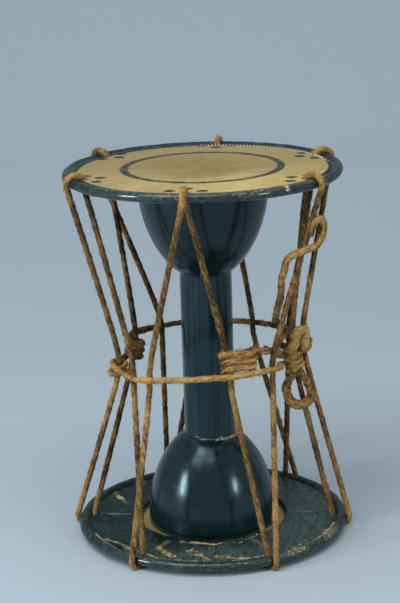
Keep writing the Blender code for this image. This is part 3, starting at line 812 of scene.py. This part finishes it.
def smooth(points, parts=CURVE_PARTS):
    """A centripetal curve through given points, with parts steps between each pair."""
    ends = [points[0] * 2 - points[1], *points, points[-1] * 2 - points[-2]]
    line = []
    for a, b, c, d in zip(ends, ends[1:], ends[2:], ends[3:]):
        t1 = sqrt((b - a).length)
        t2 = t1 + sqrt((c - b).length)
        t3 = t2 + sqrt((d - c).length)
        for i in range(parts):
            t = t1 + (t2 - t1) * i / parts
            ab = blend(a, b, 0, t1, t)
            bc = blend(b, c, t1, t2, t)
            cd = blend(c, d, t2, t3, t)
            line.append(blend(blend(ab, bc, 0, t2, t), blend(bc, cd, t1, t3, t), t1, t2, t))
    line.append(points[-1])
    return line


def evenly(points, step):
    """The same line with its points an even step apart."""
    total = sum((b - a).length for a, b in zip(points, points[1:]))
    count = max(2, ceil(total / step))
    stride = total / count
    line = [points[0].copy()]
    left = stride
    for a, b in zip(points, points[1:]):
        span = (b - a).length
        gone = left
        while gone <= span and len(line) < count:
            line.append(a.lerp(b, gone / span))
            gone += stride
        left = gone - span
    line.append(points[-1].copy())
    return line


def bend(angle, height, side):
    """The cord's bend round a rolled rim, from the hole to the outside. Side is 1 above and -1 below."""
    points = [polar(angle, RING_RADIUS - HOLE_INSET, height)]
    for i in range(BEND_STEPS + 1):
        around = radians(180 - (180 + BEND_TUCK) * i / BEND_STEPS)
        inside = cos(around) < 0
        reach = HOLE_INSET if inside else BEND_REACH
        leg = SKIN_FRONT if inside else 0
        points.append(polar(angle, RING_RADIUS + reach * cos(around),
                            height + side * (leg + (BEND_REACH - leg) * sin(around))))
    return points


def upper_bend(k):
    return bend(UPPER_HOLES[k], UPPER_RING_HEIGHT, 1)


def lower_bend(k):
    return bend(LOWER_HOLES[k % len(LOWER_HOLES)], LOWER_RING_HEIGHT, -1)


def run_point(run, height):
    """A point of a taut run, drawn in at its waist, at a height."""
    top, waist, bottom = run
    end = top if height > waist.z else bottom
    share = (height - waist.z) / (end.z - waist.z)
    eased = sqrt(share ** 2 + RUN_SOFTNESS ** 2) - RUN_SOFTNESS
    eased /= sqrt(1 + RUN_SOFTNESS ** 2) - RUN_SOFTNESS
    point = waist.lerp(end, eased)
    return Vector((point.x, point.y, height))


def run_line(run, upward):
    """Points along a run without its two ends, closer together near the waist."""
    top, waist, bottom = run
    shares = [(i / RUN_STEPS) ** RUN_CROWDING for i in range(1, RUN_STEPS)]
    heights = [waist.z + (top.z - waist.z) * share for share in reversed(shares)] + [waist.z]
    heights += [waist.z + (bottom.z - waist.z) * share for share in shares]
    line = [run_point(run, height) for height in heights]
    return line[::-1] if upward else line


def lacing_runs():
    """The twelve runs as (top, waist, bottom): six outside the rims and six through the holes."""
    leg = Vector((0, 0, CORD_DIAMETER))
    outer, inner = [], []
    for k, (outer_waist, inner_waist) in enumerate(zip(OUTER_WAIST, INNER_WAIST)):
        angle, radius, lift = outer_waist
        outer.append((upper_bend(k)[-1], polar(angle, radius, MID_HEIGHT + lift), lower_bend(k)[-1]))
        angle, radius, lift = inner_waist
        inner.append((upper_bend(k)[0] - leg, polar(angle, radius, MID_HEIGHT + lift), lower_bend(k + 1)[0] + leg))
    return outer, inner


def lacing_route(k, outer, inner):
    """From a lower hole up outside the rims, over the upper rim, and down through the holes to the next."""
    points = lower_bend(k) + run_line(outer[k], True) + upper_bend(k)[::-1]
    points += [inner[k][0]] + run_line(inner[k], False) + [inner[k][2]]
    points.append(lower_bend(k + 1)[0] + Vector((0, 0, FIT_GAP)))
    return points


def wound(first, second, distance, start, turns, height, pitch, way=1, slant=0.0):
    """Turns round one run, or round two side by side, as points that climb by a pitch from a height.

    The turns start on the outer side at start degrees, and way is 1 to go on towards the right. Slant lifts
    them on the outer side.
    """
    points = []
    count = int(turns * TURN_POINTS)
    for i in range(count + 1):
        level = height + pitch * i / TURN_POINTS
        a = run_point(first, level)
        b = run_point(second, level)
        middle = (a + b) / 2
        out = outward(middle)
        side = Vector((-out.y, out.x, 0)) * way
        around = radians(start) + 2 * pi * i / TURN_POINTS
        direction = out * cos(around) + side * sin(around)
        nearer = a if (a - b).dot(direction) > 0 else b
        rise = slant * distance * cos(around)
        points.append(nearer + direction * distance + Vector((0, 0, rise)))
    return points


def beside(run, height, angle, distance):
    """A point beside a run: angle 0 towards the front, 90 towards the right."""
    return run_point(run, height) + polar(angle, distance, 0)


def over(run, lift, reach=WRAP):
    """A point on the outer side of a run, near the waist."""
    point = run_point(run, MID_HEIGHT + lift)
    return point + outward(point) * reach


def aside(point, way, rise=0.0):
    """A point two wraps from another, round the axis: way is 1 towards the right of the front."""
    out = outward(point)
    return point + Vector((-way * out.y, way * out.x, rise)) * 2 * WRAP


def waist_route(outer, inner):
    """Round the waist from the knot, with two hitches on the left, back to the knot on the right."""
    level = MID_HEIGHT - KNOT_DROP + TURN_PITCH
    small = wound(outer[5], outer[5], WRAP, 0, SMALL_HITCH_TURNS, MID_HEIGHT - SMALL_HITCH_DROP, -TURN_PITCH, -1)
    coil = wound(inner[4], inner[4], WRAP, 0, COIL_HITCH_TURNS, MID_HEIGHT - COIL_HITCH_DROP, TURN_PITCH, -1,
                 COIL_SLANT)
    front = [
        beside(inner[1], level, -75, 0.3 * WRAP),
        beside(inner[1], level, -75, 2.1 * WRAP),
        over(outer[1], -0.001, 1.12 * WRAP),
        over(inner[0], -0.001),
        over(outer[0], -0.001),
        over(inner[5], -0.005),
        aside(small[0], 1),
        small[0],
    ]
    knot_back = run_point(outer[2], MID_HEIGHT)
    back = [
        coil[-1],
        aside(coil[-1], -1),
        over(outer[4], 0.001),
        over(inner[3], 0.0),
        over(outer[3], 0.001),
        over(inner[2], 0.002),
        knot_back + polar(150, 2 * WRAP + CORD_RADIUS, 0),
        knot_back + polar(145, WRAP, 0),
        knot_back + polar(88, 0.96 * WRAP, -0.0006),
        knot_back + polar(30, WRAP, -0.0016),
        beside(inner[1], MID_HEIGHT - 0.0040, 75, 0.5 * WRAP),
    ]
    return smooth(front)[:-1] + small + [aside(small[-1], -1, -0.12)] + coil[:-1] + smooth(back)


def wander(point):
    """A steady direction that varies from place to place."""
    return Vector([noise.noise(point + Vector((0, 0, 7.3 * axis))) for axis in range(3)])


def lashing_route(outer, inner):
    """Long turns hooked round one run on the front, and on behind the next run to the knot."""
    hooked = inner[0]
    shift = polar(LASHING_ANGLE, LASHING_DRAWN * LASHING_REACH, 0)
    far = tuple(point + shift for point in hooked)
    points = wound(hooked, far, LASHING_DRAWN * WRAP, 90, LASHING_TURNS, MID_HEIGHT + LASHING_LIFT, TURN_PITCH)
    last = points[-1]
    tail = [
        last + polar(80, 0.009, -0.0005),
        beside(outer[1], last.z - 0.004, 235, 1.3 * WRAP),
        beside(outer[1], last.z - 0.008, 165, 2.3 * WRAP),
        beside(inner[1], MID_HEIGHT - 0.004, -70, 2.1 * WRAP),
        beside(inner[1], MID_HEIGHT - 0.006, -60, 0.3 * WRAP),
    ]
    points = [point + wander(point * 120.0) * LASHING_SLACK for point in points[:-1]]
    return points + smooth([last] + tail, 4)


def knot_route(inner):
    """The slip knot: slanting turns round one run, and a bight drawn up in front of the next."""
    run = inner[1]
    points = wound(run, run, WRAP, -180, KNOT_TURNS, MID_HEIGHT - KNOT_DROP, TURN_PITCH, 1, KNOT_SLANT)
    top = points[-1]
    bight = [beside(run, top.z + lift, angle, distance * WRAP) for lift, angle, distance in (
        (0.0050, 10, 1.40), (0.0105, 16, 1.50), (0.0158, 35, 1.70), (0.0150, 60, 2.20), (0.0100, 60, 2.15),
        (0.0050, 62, 2.00), (0.0010, 66, 1.60))]
    return points[:-1] + smooth([top] + bight)


def hitch_route(outer, inner):
    """The free end, led up from the knot behind one run to a hitch on it under the upper rim."""
    guide = outer[1]
    rise = run_point(inner[1], MID_HEIGHT + 0.012)
    points = [
        beside(inner[1], MID_HEIGHT - 0.0010, -65, 0.3 * WRAP),
        beside(inner[1], MID_HEIGHT + 0.0035, -78, 2.1 * WRAP),
        rise + Vector((-0.0085, -0.0150, 0.0)),
    ]
    for lift, angle, distance in (
            (0.0250, 150, 1.4), (0.0300, -140, 1.2), (0.0370, -95, 1.15), (0.0470, -85, 1.2), (0.0600, -85, 1.8),
            (0.0670, -82, 1.9), (0.0760, -75, 1.8), (0.0800, -25, 1.3), (0.0825, 20, 1.3), (0.0840, 60, 1.8),
            (0.0910, 78, 2.1), (0.0990, 75, 1.75), (0.1025, 45, 1.3), (0.0985, 15, 1.1), (0.0910, 25, 1.1)):
        points.append(beside(guide, MID_HEIGHT + lift, angle, distance * WRAP))
    return smooth(points)


def loop_route(inner):
    """The loop that hangs from the knot's lowest turn."""
    hinge = beside(inner[1], MID_HEIGHT - KNOT_DROP + TURN_PITCH / 4, 0, WRAP)
    hang = CORD_RADIUS + 3 * FIT_GAP
    places = [hinge + Vector((LOOP_NARROW * across, -off, -hang - drop)) for across, off, drop in (
        (-0.0016, 0.0, -0.0014),
        (-0.0034, 0.0, 0.0016),
        (-0.0054, 0.0002, 0.0045),
        (-0.0076, 0.0010, 0.0090),
        (-0.0070, 0.0020, 0.0155),
        (-0.0030, 0.0030, 0.0205),
        (0.0030, 0.0032, 0.0220),
        (0.0088, 0.0028, 0.0195),
        (0.0112, 0.0020, 0.0140),
        (0.0098, 0.0010, 0.0080),
        (0.0060, 0.0002, 0.0030),
        (0.0034, 0.0, -0.0006),
        (0.0016, 0.0, -0.0030),
    )]
    return smooth(places)


def frames_along(line):
    """A side and an upright direction at each point of a line, carried along it without twist."""
    ahead = [(b - a).normalized() for a, b in zip(line, line[1:])]
    ahead.append(ahead[-1])
    side = ahead[0].orthogonal().normalized()
    sides = []
    for direction in ahead:
        side = (side - direction * side.dot(direction)).normalized()
        sides.append((side, direction.cross(side)))
    return sides


def tube_mesh(name, lines, radius, roundness):
    """A mesh of round tubes along lines, each with closed ends."""
    curve = bpy.data.curves.new(name, "CURVE")
    curve.dimensions = "3D"
    curve.bevel_depth = radius
    curve.bevel_resolution = roundness
    for line in lines:
        spline = curve.splines.new("POLY")
        spline.points.add(len(line) - 1)
        for spot, point in zip(spline.points, line):
            spot.co = (*point, 1)
    holder = show(bpy.data.objects.new(name, curve))
    mesh = worked_out(holder)
    bpy.data.objects.remove(holder)
    bpy.data.curves.remove(curve)
    bm = bmesh.new()
    bm.from_mesh(mesh)
    bmesh.ops.holes_fill(bm, edges=[edge for edge in bm.edges if edge.is_boundary], sides=0)
    bmesh.ops.recalc_face_normals(bm, faces=bm.faces)
    bm.to_mesh(mesh)
    bm.free()
    mesh.name = name
    return mesh


def make_rope(name, route, size, seed, tone, look, body, node, strands=ROPE_STRANDS, lay=ROPE_LAY, groove=0.07):
    """A cord of shallow twisted strands along a route, uneven as hand-twisted hemp is.

    Size and tone are functions of a point and of the share of the way along: tone is 0 dark, 1 pale.
    """
    def waver(gone, fineness, stir, row):
        return noise.noise(Vector((gone * fineness, seed * stir, row)))

    line = evenly(route, ROPE_STEP)
    mesh = tube_mesh(name, [line], 1.0, ROPE_ROUNDNESS)
    sides = len(mesh.vertices) // len(line)
    rings = []
    for i, point in enumerate(line):
        gone = i * ROPE_STEP
        share = i / (len(line) - 1)
        twist = -2 * pi * gone / lay + 1.5 * waver(gone, 30, 1.9, 7.7)
        depth = groove * (1 + 0.8 * waver(gone, 60, 3.7, 1.3))
        swell = 1 + 0.10 * waver(gone, 75, 5.3, 2.1) + 0.05 * waver(gone, 300, 2.3, 4.9)
        rings.append((point, twist, depth, swell * size(point, share) / 2, tone(point, share)))
    fibre, lobes, tones = [], [], []
    for vertex in mesh.vertices:
        i, corner = divmod(vertex.index, sides)
        centre, twist, depth, radius, shade = rings[i]
        around = 2 * pi * corner / sides - twist
        lobe = abs(cos(around * strands / 2))
        out = vertex.co - centre
        ruffled = 0.13 * noise.noise((centre + out * radius) * 800.0)
        vertex.co = centre + out * radius * (1 + 2 * depth * (lobe - LOBE_MEAN) + ruffled)
        vertex.co.z = max(vertex.co.z, FLOOR_GAP)
        fibre += [STREAK_SPREAD * cos(around) + SEED_SHIFT * seed, STREAK_SPREAD * sin(around),
                  i * ROPE_STEP / FIBRE_PITCH]
        # How far a point lies out of a groove, for the painted shade in the grooves
        lobes.append(1 - (1 - lobe) * min(1.0, depth / FULL_GROOVE))
        tones.append(shade - INNER_SHADE * max(0.0, -out.dot(outward(centre))))
    keep_hemp(mesh, fibre, lobes, tones)
    for face in mesh.polygons:
        face.use_smooth = True
    return place(name, mesh, look, body, "hemp_cord", node), line


def make_fibres(name, lines, look, body):
    """Stray fibres that stand off the cord. Lines are (line, diameter, fibres to the metre, tone)."""
    chance = random.Random(name)
    hairs, tones = [], []
    for line, diameter, crowd, tone in lines:
        frames = frames_along(line)
        for _ in range(int(len(line) * ROPE_STEP * crowd)):
            i = chance.randrange(1, len(line) - 2)
            side, upright = frames[i]
            ahead = (line[i + 1] - line[i]).normalized() * chance.choice((-1, 1))
            around = chance.uniform(0, 2 * pi)
            out = side * cos(around) + upright * sin(around)
            length = chance.uniform(*FIBRE_LENGTHS)
            start = line[i] + out * diameter * FIBRE_ROOT
            lean = ahead * chance.uniform(*FIBRE_LEANS)
            curl = out.cross(ahead) * chance.uniform(*FIBRE_CURLS)
            hair = [start + (out * share * (1.0 - FIBRE_DROOP * share) + lean * share + curl * share * share)
                    * length * FIBRE_REACH for share in FIBRE_SHARES]
            if min(point.z for point in hair) > FIBRE_FLOOR_GAP:
                hairs.append(hair)
                tones.append(tone + chance.uniform(*FIBRE_TONES))
    mesh = tube_mesh(name, hairs, FIBRE_RADIUS, 0)
    points_each = len(mesh.vertices) // len(hairs)
    fibre, shades = [], []
    for vertex in mesh.vertices:
        hair = vertex.index // points_each
        fibre += [hair * 0.37, hair * 0.11, 0.0]
        shades.append(tones[hair])
    keep_hemp(mesh, fibre, [1.0] * len(mesh.vertices), shades)
    place(name, mesh, look, body, "hemp_cord")


# Studio


SWEEP_HALF_WIDTH = 2.6
SWEEP_WALL = 3.0
SWEEP_BEND = 1.2
SWEEP_BEND_STEPS = 24
# Paper colours: the near and far ones are lighter as painted light
NEAR_PAPER_PAINTED_LIGHT = (0.434, 0.513, 0.585)
PAPER = (0.392, 0.482, 0.541)
FAR_PAPER_PAINTED_LIGHT = (0.535, 0.655, 0.73)
PAPER_TOOTH = (0.40, 0.48, 0.54)
SKY_COLOUR = (0.93, 0.97, 1.0, 1.0)
SKY_STRENGTH = 0.40
LAMP_AIM = Vector((0, 0, 0.08))
LAMP_COLOUR = (0.97, 0.985, 1.0)

# Name, angle, degrees above level, distance, width, height and watts
LAMPS = (
    ("left_window", -60.0, 15.5, 1.30, 0.23, 0.44, 7.0),
    ("left_high_window", -46.0, 52.0, 1.30, 0.45, 0.60, 3.2),
    ("right_window", 48.0, 16.0, 1.40, 0.15, 0.26, 3.0),
    ("high_window", 40.0, 62.0, 1.40, 0.12, 0.12, 0.9),
    ("top_window", -20.0, 66.0, 1.60, 1.00, 1.00, 7.5),
    ("ceiling", 180.0, 75.0, 1.80, 2.20, 2.20, 8.0),
)


def make_sweep():
    """The pale paper that the drum stands on, bent up behind it, with painted light that makes it lighter in front
    of the drum and much lighter far behind it.
    """
    bm = bmesh.new()
    bmesh.ops.create_grid(bm, x_segments=1, y_segments=1, size=SWEEP_HALF_WIDTH)
    far = [edge for edge in bm.edges if all(v.co.y > 0 for v in edge.verts)]
    raised = bmesh.ops.extrude_edge_only(bm, edges=far)["geom"]
    wall = [v for v in raised if isinstance(v, bmesh.types.BMVert)]
    bmesh.ops.translate(bm, vec=(0, 0, SWEEP_WALL), verts=wall)
    bmesh.ops.bevel(bm, geom=far, offset=SWEEP_BEND, segments=SWEEP_BEND_STEPS, profile=0.5, affect="EDGES",
                    material=-1)
    for face in bm.faces:
        face.smooth = True
    mesh = stored(bm, "sweep")
    sweep = show(bpy.data.objects.new("sweep", mesh))
    look = Finish("sweep_paper", Roughness=0.95, Specular_IOR_Level=0.1)
    tooth = look.grain(look.place, 60.0, 3.0)
    depth = look.split(look.place)[1]
    # Painted light: lighter in front of the drum and much lighter far behind it
    paper = look.mixed(look.ease(depth, -0.30, 0.10), NEAR_PAPER_PAINTED_LIGHT, PAPER)
    paper = look.mixed(look.ease(depth, 0.3, 1.6), paper, FAR_PAPER_PAINTED_LIGHT)
    look.to("Base Color", look.mixed(look.ease(tooth, 0.3, 0.7, 0.0, 0.06), paper, PAPER_TOOTH))
    mesh.materials.append(look.material)


def make_light():
    """A soft sky, four soft windows in front of the drum, one of them low on each side, and two above it."""
    world = bpy.data.worlds.new("soft_sky")
    bpy.context.scene.world = world
    world.use_nodes = True
    sky = world.node_tree.nodes["Background"]
    sky.inputs["Color"].default_value = SKY_COLOUR
    sky.inputs["Strength"].default_value = SKY_STRENGTH

    for name, azimuth, rise, distance, wide, tall, power in LAMPS:
        lamp = bpy.data.lights.new(name, "AREA")
        lamp.shape = "RECTANGLE"
        lamp.size = wide
        lamp.size_y = tall
        lamp.energy = power
        lamp.color = LAMP_COLOUR
        stand = bpy.data.objects.new(name, lamp)
        spot = polar(azimuth, distance * cos(radians(rise)), LAMP_AIM.z + distance * sin(radians(rise)))
        aim = (spot - LAMP_AIM).to_track_quat("Z", "Y")
        stand.matrix_world = Matrix.Translation(spot) @ aim.to_matrix().to_4x4()
        show(stand)


def make_camera():
    """The photograph's viewpoint: a little above the upper head, leaning slightly to the left."""
    eye = Vector((-0.004798, -1.18322, 0.48542))
    rise = radians(15.764)
    lean = radians(-1.814)
    ahead = Vector((0, cos(rise), -sin(rise)))
    level = Vector((1, 0, 0))
    above = level.cross(ahead)
    right = level * cos(lean) + above * sin(lean)
    up = above * cos(lean) - level * sin(lean)
    camera = bpy.data.cameras.new("camera")
    camera.sensor_fit = "VERTICAL"
    camera.sensor_height = 24.0
    camera.lens = 70.99
    camera.shift_y = 0.02914
    camera.clip_start = 0.05
    holder = show(bpy.data.objects.new("camera", camera))
    turned = Matrix((right, up, -ahead)).transposed().to_4x4()
    holder.matrix_world = Matrix.Translation(eye) @ turned
    bpy.context.scene.camera = holder


# Wear of each head: arcs are (angle, half width, strength), flakes are strokes as flake_wear takes them


UPPER_WEAR = {
    "rim": ((18.0, 20.0, 0.72), (34.5, 1.2, 1.7), (50.0, 14.0, 0.62), (-14.0, 14.0, 0.60), (-48.0, 20.0, 0.5),
            (80.0, 25.0, 0.4)),
    "torn_edge": (),
    "lifted_edge": (),
    "front_thread": ((140.0, 42.0, 1.3),),
    "back_thread": ((20.0, 20.0, 0.4),),
    "flakes": ((20.0, 0.060, 40.0, 0.058, 0.004, 0.6),),
}
LOWER_WEAR = {
    "rim": ((36.0, 12.0, 0.92), (60.0, 14.0, 0.88), (-57.0, 14.0, 0.40), (-28.0, 12.0, 0.5), (6.0, 24.0, 0.50)),
    "torn_edge": ((-80.0, 20.0, 0.8), (75.0, 22.0, 0.8)),
    "lifted_edge": ((-44.0, 13.0, 1.0),),
    "front_thread": ((20.0, 30.0, 0.8),),
    "back_thread": ((-62.0, 14.0, 0.7), (60.0, 26.0, 0.6), (110.0, 20.0, 0.4)),
    "flakes": (
        (-124.0, 0.086, -111.0, 0.066, 0.0030, 1.0),
        (-133.0, 0.078, -138.0, 0.074, 0.0026, 0.7),
        (-62.0, 0.0850, -44.0, 0.0830, 0.0019, 1.25),
        (-44.0, 0.0825, -28.0, 0.0850, 0.0024, 1.1),
        (-28.0, 0.0858, 4.0, 0.0856, 0.0016, 0.85),
        (4.0, 0.0856, 30.0, 0.0858, 0.0016, 0.95),
        (26.0, 0.0545, 72.0, 0.0530, 0.0020, 0.80),
        (-33.0, 0.070, -22.0, 0.077, 0.0045, 1.05),
        (-24.0, 0.0550, 0.0, 0.0555, 0.0026, 1.1),
        (0.0, 0.0555, 14.0, 0.0545, 0.0020, 1.0),
        (18.0, 0.0560, 28.0, 0.0540, 0.0022, 0.85),
        (-14.0, 0.066, -4.0, 0.080, 0.0055, 0.90),
        (2.0, 0.076, 14.0, 0.082, 0.0045, 0.90),
        (20.0, 0.070, 26.0, 0.078, 0.0030, 0.6),
        (38.0, 0.0850, 66.0, 0.0855, 0.0032, 0.72),
        (-98.0, 0.0535, -62.0, 0.0540, 0.0012, 0.6),
        (-30.0, 0.070, 30.0, 0.070, 0.0110, 0.50),
    ),
}


# Tone and thickness along each cord, at a point and a share of the way along


def mottled(base, contrast, fineness, point):
    return base + contrast * noise.noise(point * fineness)


def lacing_tone(point, share):
    """Paler where it bends over the rims; darker on the inner runs and behind, as painted shade."""
    top = max(0.0, 1 - abs(point.z - UPPER_RING_HEIGHT - 0.003) / 0.010) * 0.34
    foot = max(0.0, 1 - point.z / 0.014) * 0.14
    # Painted shade on the inner runs and on the runs behind the drum
    inside = 0.09 if share > 0.5 else 0.0
    behind = 0.10 if point.y > 0.01 else 0.0
    low = 0.06 if point.z < MID_HEIGHT - 0.01 and point.x > 0.03 else 0.0
    return mottled(0.47 + low - inside - behind + top + foot, 0.18, 24.0, point)


def lacing_size(point, share):
    return ROPE_DIAMETER


def waist_tone(point, share):
    """Pale in front; darker behind, in the hitches and where it starts in the knot, as painted shade."""
    # Painted shade behind, in the two hitches on the left and where the cord starts inside the knot
    behind = 0.26 * clamped((point.y + 0.010) / 0.020)
    behind += 0.22 * clamped((-point.x - 0.046) / 0.006) + 0.20 * max(0.0, 1 - share / 0.03)
    return mottled(0.79 - behind, 0.16, 40.0, point)


def waist_size(point, share):
    """Fuller in the back hitch and drawn thinner in the front one."""
    coiled = clamped((-point.x - 0.040) / 0.004)
    return ROPE_DIAMETER + (0.0009 if point.y > 0.006 else -0.0004) * coiled


def lashing_tone(point, share):
    return mottled(0.58, 0.45, 70.0, point)


def lashing_size(point, share):
    return TIED_DIAMETER * mottled(0.92, 0.30, 130.0, point)


def knot_tone(point, share):
    # Painted light: the knot's turns are paler, lifting the shade they lie in
    turns_painted_light = 0.20 if share < BIGHT_START else 0.0
    return mottled(0.74 + turns_painted_light, 0.35, 60.0, point)


def knot_size(point, share):
    """As the lashing, and fuller in the bight."""
    return lashing_size(point, share) + 0.0020 * clamped((share - BIGHT_START) / 0.1)


def hitch_tone(point, share):
    """Paler as it rises, and darker where its end is tucked in, as painted shade."""
    up = clamped((point.z - MID_HEIGHT - 0.045) / 0.035)
    # Painted shade where the end is tucked in
    tucked = max(0.0, (share - 0.91) / 0.09)
    return mottled(0.42 + 0.17 * up - 0.40 * tucked, 0.34, 60.0, point)


def hitch_size(point, share):
    return TIED_DIAMETER * min(1.0, 0.55 + 14.0 * (1 - share))


def loop_tone(point, share):
    return mottled(0.47, 0.26, 60.0, point)


def loop_size(point, share):
    return mottled(LOOP_DIAMETER + LOOP_SWELL * sin(pi * share), 0.0012, 150.0, point)


# Making


def make_loop(inner, look):
    """The loop under the knot, which swings. Its fibres are left off where the knot covers it."""
    loop, line = make_rope("loop_rope", smooth(loop_route(inner)), loop_size, 20, loop_tone, look, "bow_loop",
                           "bow_loop", 6, TIED_LAY, 0.16)
    bare = line[LOOP_BARE_STEPS:-LOOP_BARE_STEPS]
    make_fibres("loop_fibres", [(bare, LOOP_DIAMETER, 900, 0.5)], look, "bow_loop")


def make_cords(outer, inner, look):
    """The lacing, and the four cords tied to it."""
    lines = []
    for k in range(len(UPPER_HOLES)):
        route = smooth(lacing_route(k, outer, inner))
        _, line = make_rope(f"lacing_{k + 1}", route, lacing_size, k + 1, lacing_tone, look, "drum",
                            f"lacing_cord_{k + 1}")
        lines.append((line, ROPE_DIAMETER, 800, 0.4))
        rubbed = [point for point in line if point.z > UPPER_RING_HEIGHT - 0.003]
        lines.append((rubbed, ROPE_DIAMETER, 4500, 0.7))
    for seed, (name, node, route, size, tone, strands, lay, groove, crowd) in enumerate((
            ("waist_rope", "waist_cord", waist_route(outer, inner), waist_size, waist_tone,
             ROPE_STRANDS, ROPE_LAY, 0.08, 700),
            ("front_lashing_rope", "front_lashing", lashing_route(outer, inner), lashing_size, lashing_tone,
             ROPE_STRANDS, TIED_LAY, 0.26, 3600),
            ("side_knot_rope", "side_knot", knot_route(inner), knot_size, knot_tone,
             7, TIED_LAY, 0.20, 2600),
            ("hitch_rope", "hitch_cord", hitch_route(outer, inner), hitch_size, hitch_tone,
             5, TIED_LAY, 0.10, 900)),
            start=10):
        _, line = make_rope(name, smooth(route), size, seed, tone, look, "drum", node, strands, lay, groove)
        lines.append((line, TIED_DIAMETER, crowd, 0.6))
    make_fibres("lacing_fibres", lines, look, "drum")


def make_head(part, height, side, holes, band, shift, wear, thread):
    """One head: its painted hide, its leather facing and a row of stitches on each side of its rim."""
    hide = painted_hide(f"{part}_hide", height + side * SKIN_FRONT, holes, band, shift)
    make_skin(f"{part}_hide", height, side, holes, wear["rim"], hide, f"{part}_head_skin")
    make_facing(f"{part}_facing", height, side, holes, wear["torn_edge"], wear["lifted_edge"], wear["flakes"],
                facing_lacquer(f"{part}_facing"), f"{part}_head_facing")
    make_stitches(f"{part}_front_stitches", height + side * (SKIN_FRONT + STITCH_STAND), band, shift,
                  wear["front_thread"], thread)
    make_stitches(f"{part}_back_stitches", height - side * BACK_STITCH_DEPTH, ROLL_MEETS - BACK_STITCH_INSET, 0.0,
                  wear["back_thread"], thread)


def main():
    make_camera()
    outer, inner = lacing_runs()
    cord_look = hemp("twisted_hemp")
    make_loop(inner, cord_look)
    make_cords(outer, inner, cord_look)
    make_body(body_lacquer())
    thread = stitch_thread()
    make_head("upper", UPPER_RING_HEIGHT, 1, UPPER_HOLES, UPPER_BAND_RADIUS, UPPER_BAND_SHIFT, UPPER_WEAR, thread)
    make_head("lower", LOWER_RING_HEIGHT, -1, LOWER_HOLES, LOWER_BAND_RADIUS, 0.0, LOWER_WEAR, thread)

    # Solids that stay as they are, hidden inside the heads
    iron = forged_iron()
    for node, look in (
            ("upper_head_ring", iron), ("lower_head_ring", iron), ("lower_head_patch", soft_deerskin())):
        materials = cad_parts[node].data.materials
        materials.clear()
        materials.append(look)

    make_sweep()
    make_light()
    bpy.context.scene.view_settings.view_transform = "Standard"
    bpy.context.view_layer.update()


main()
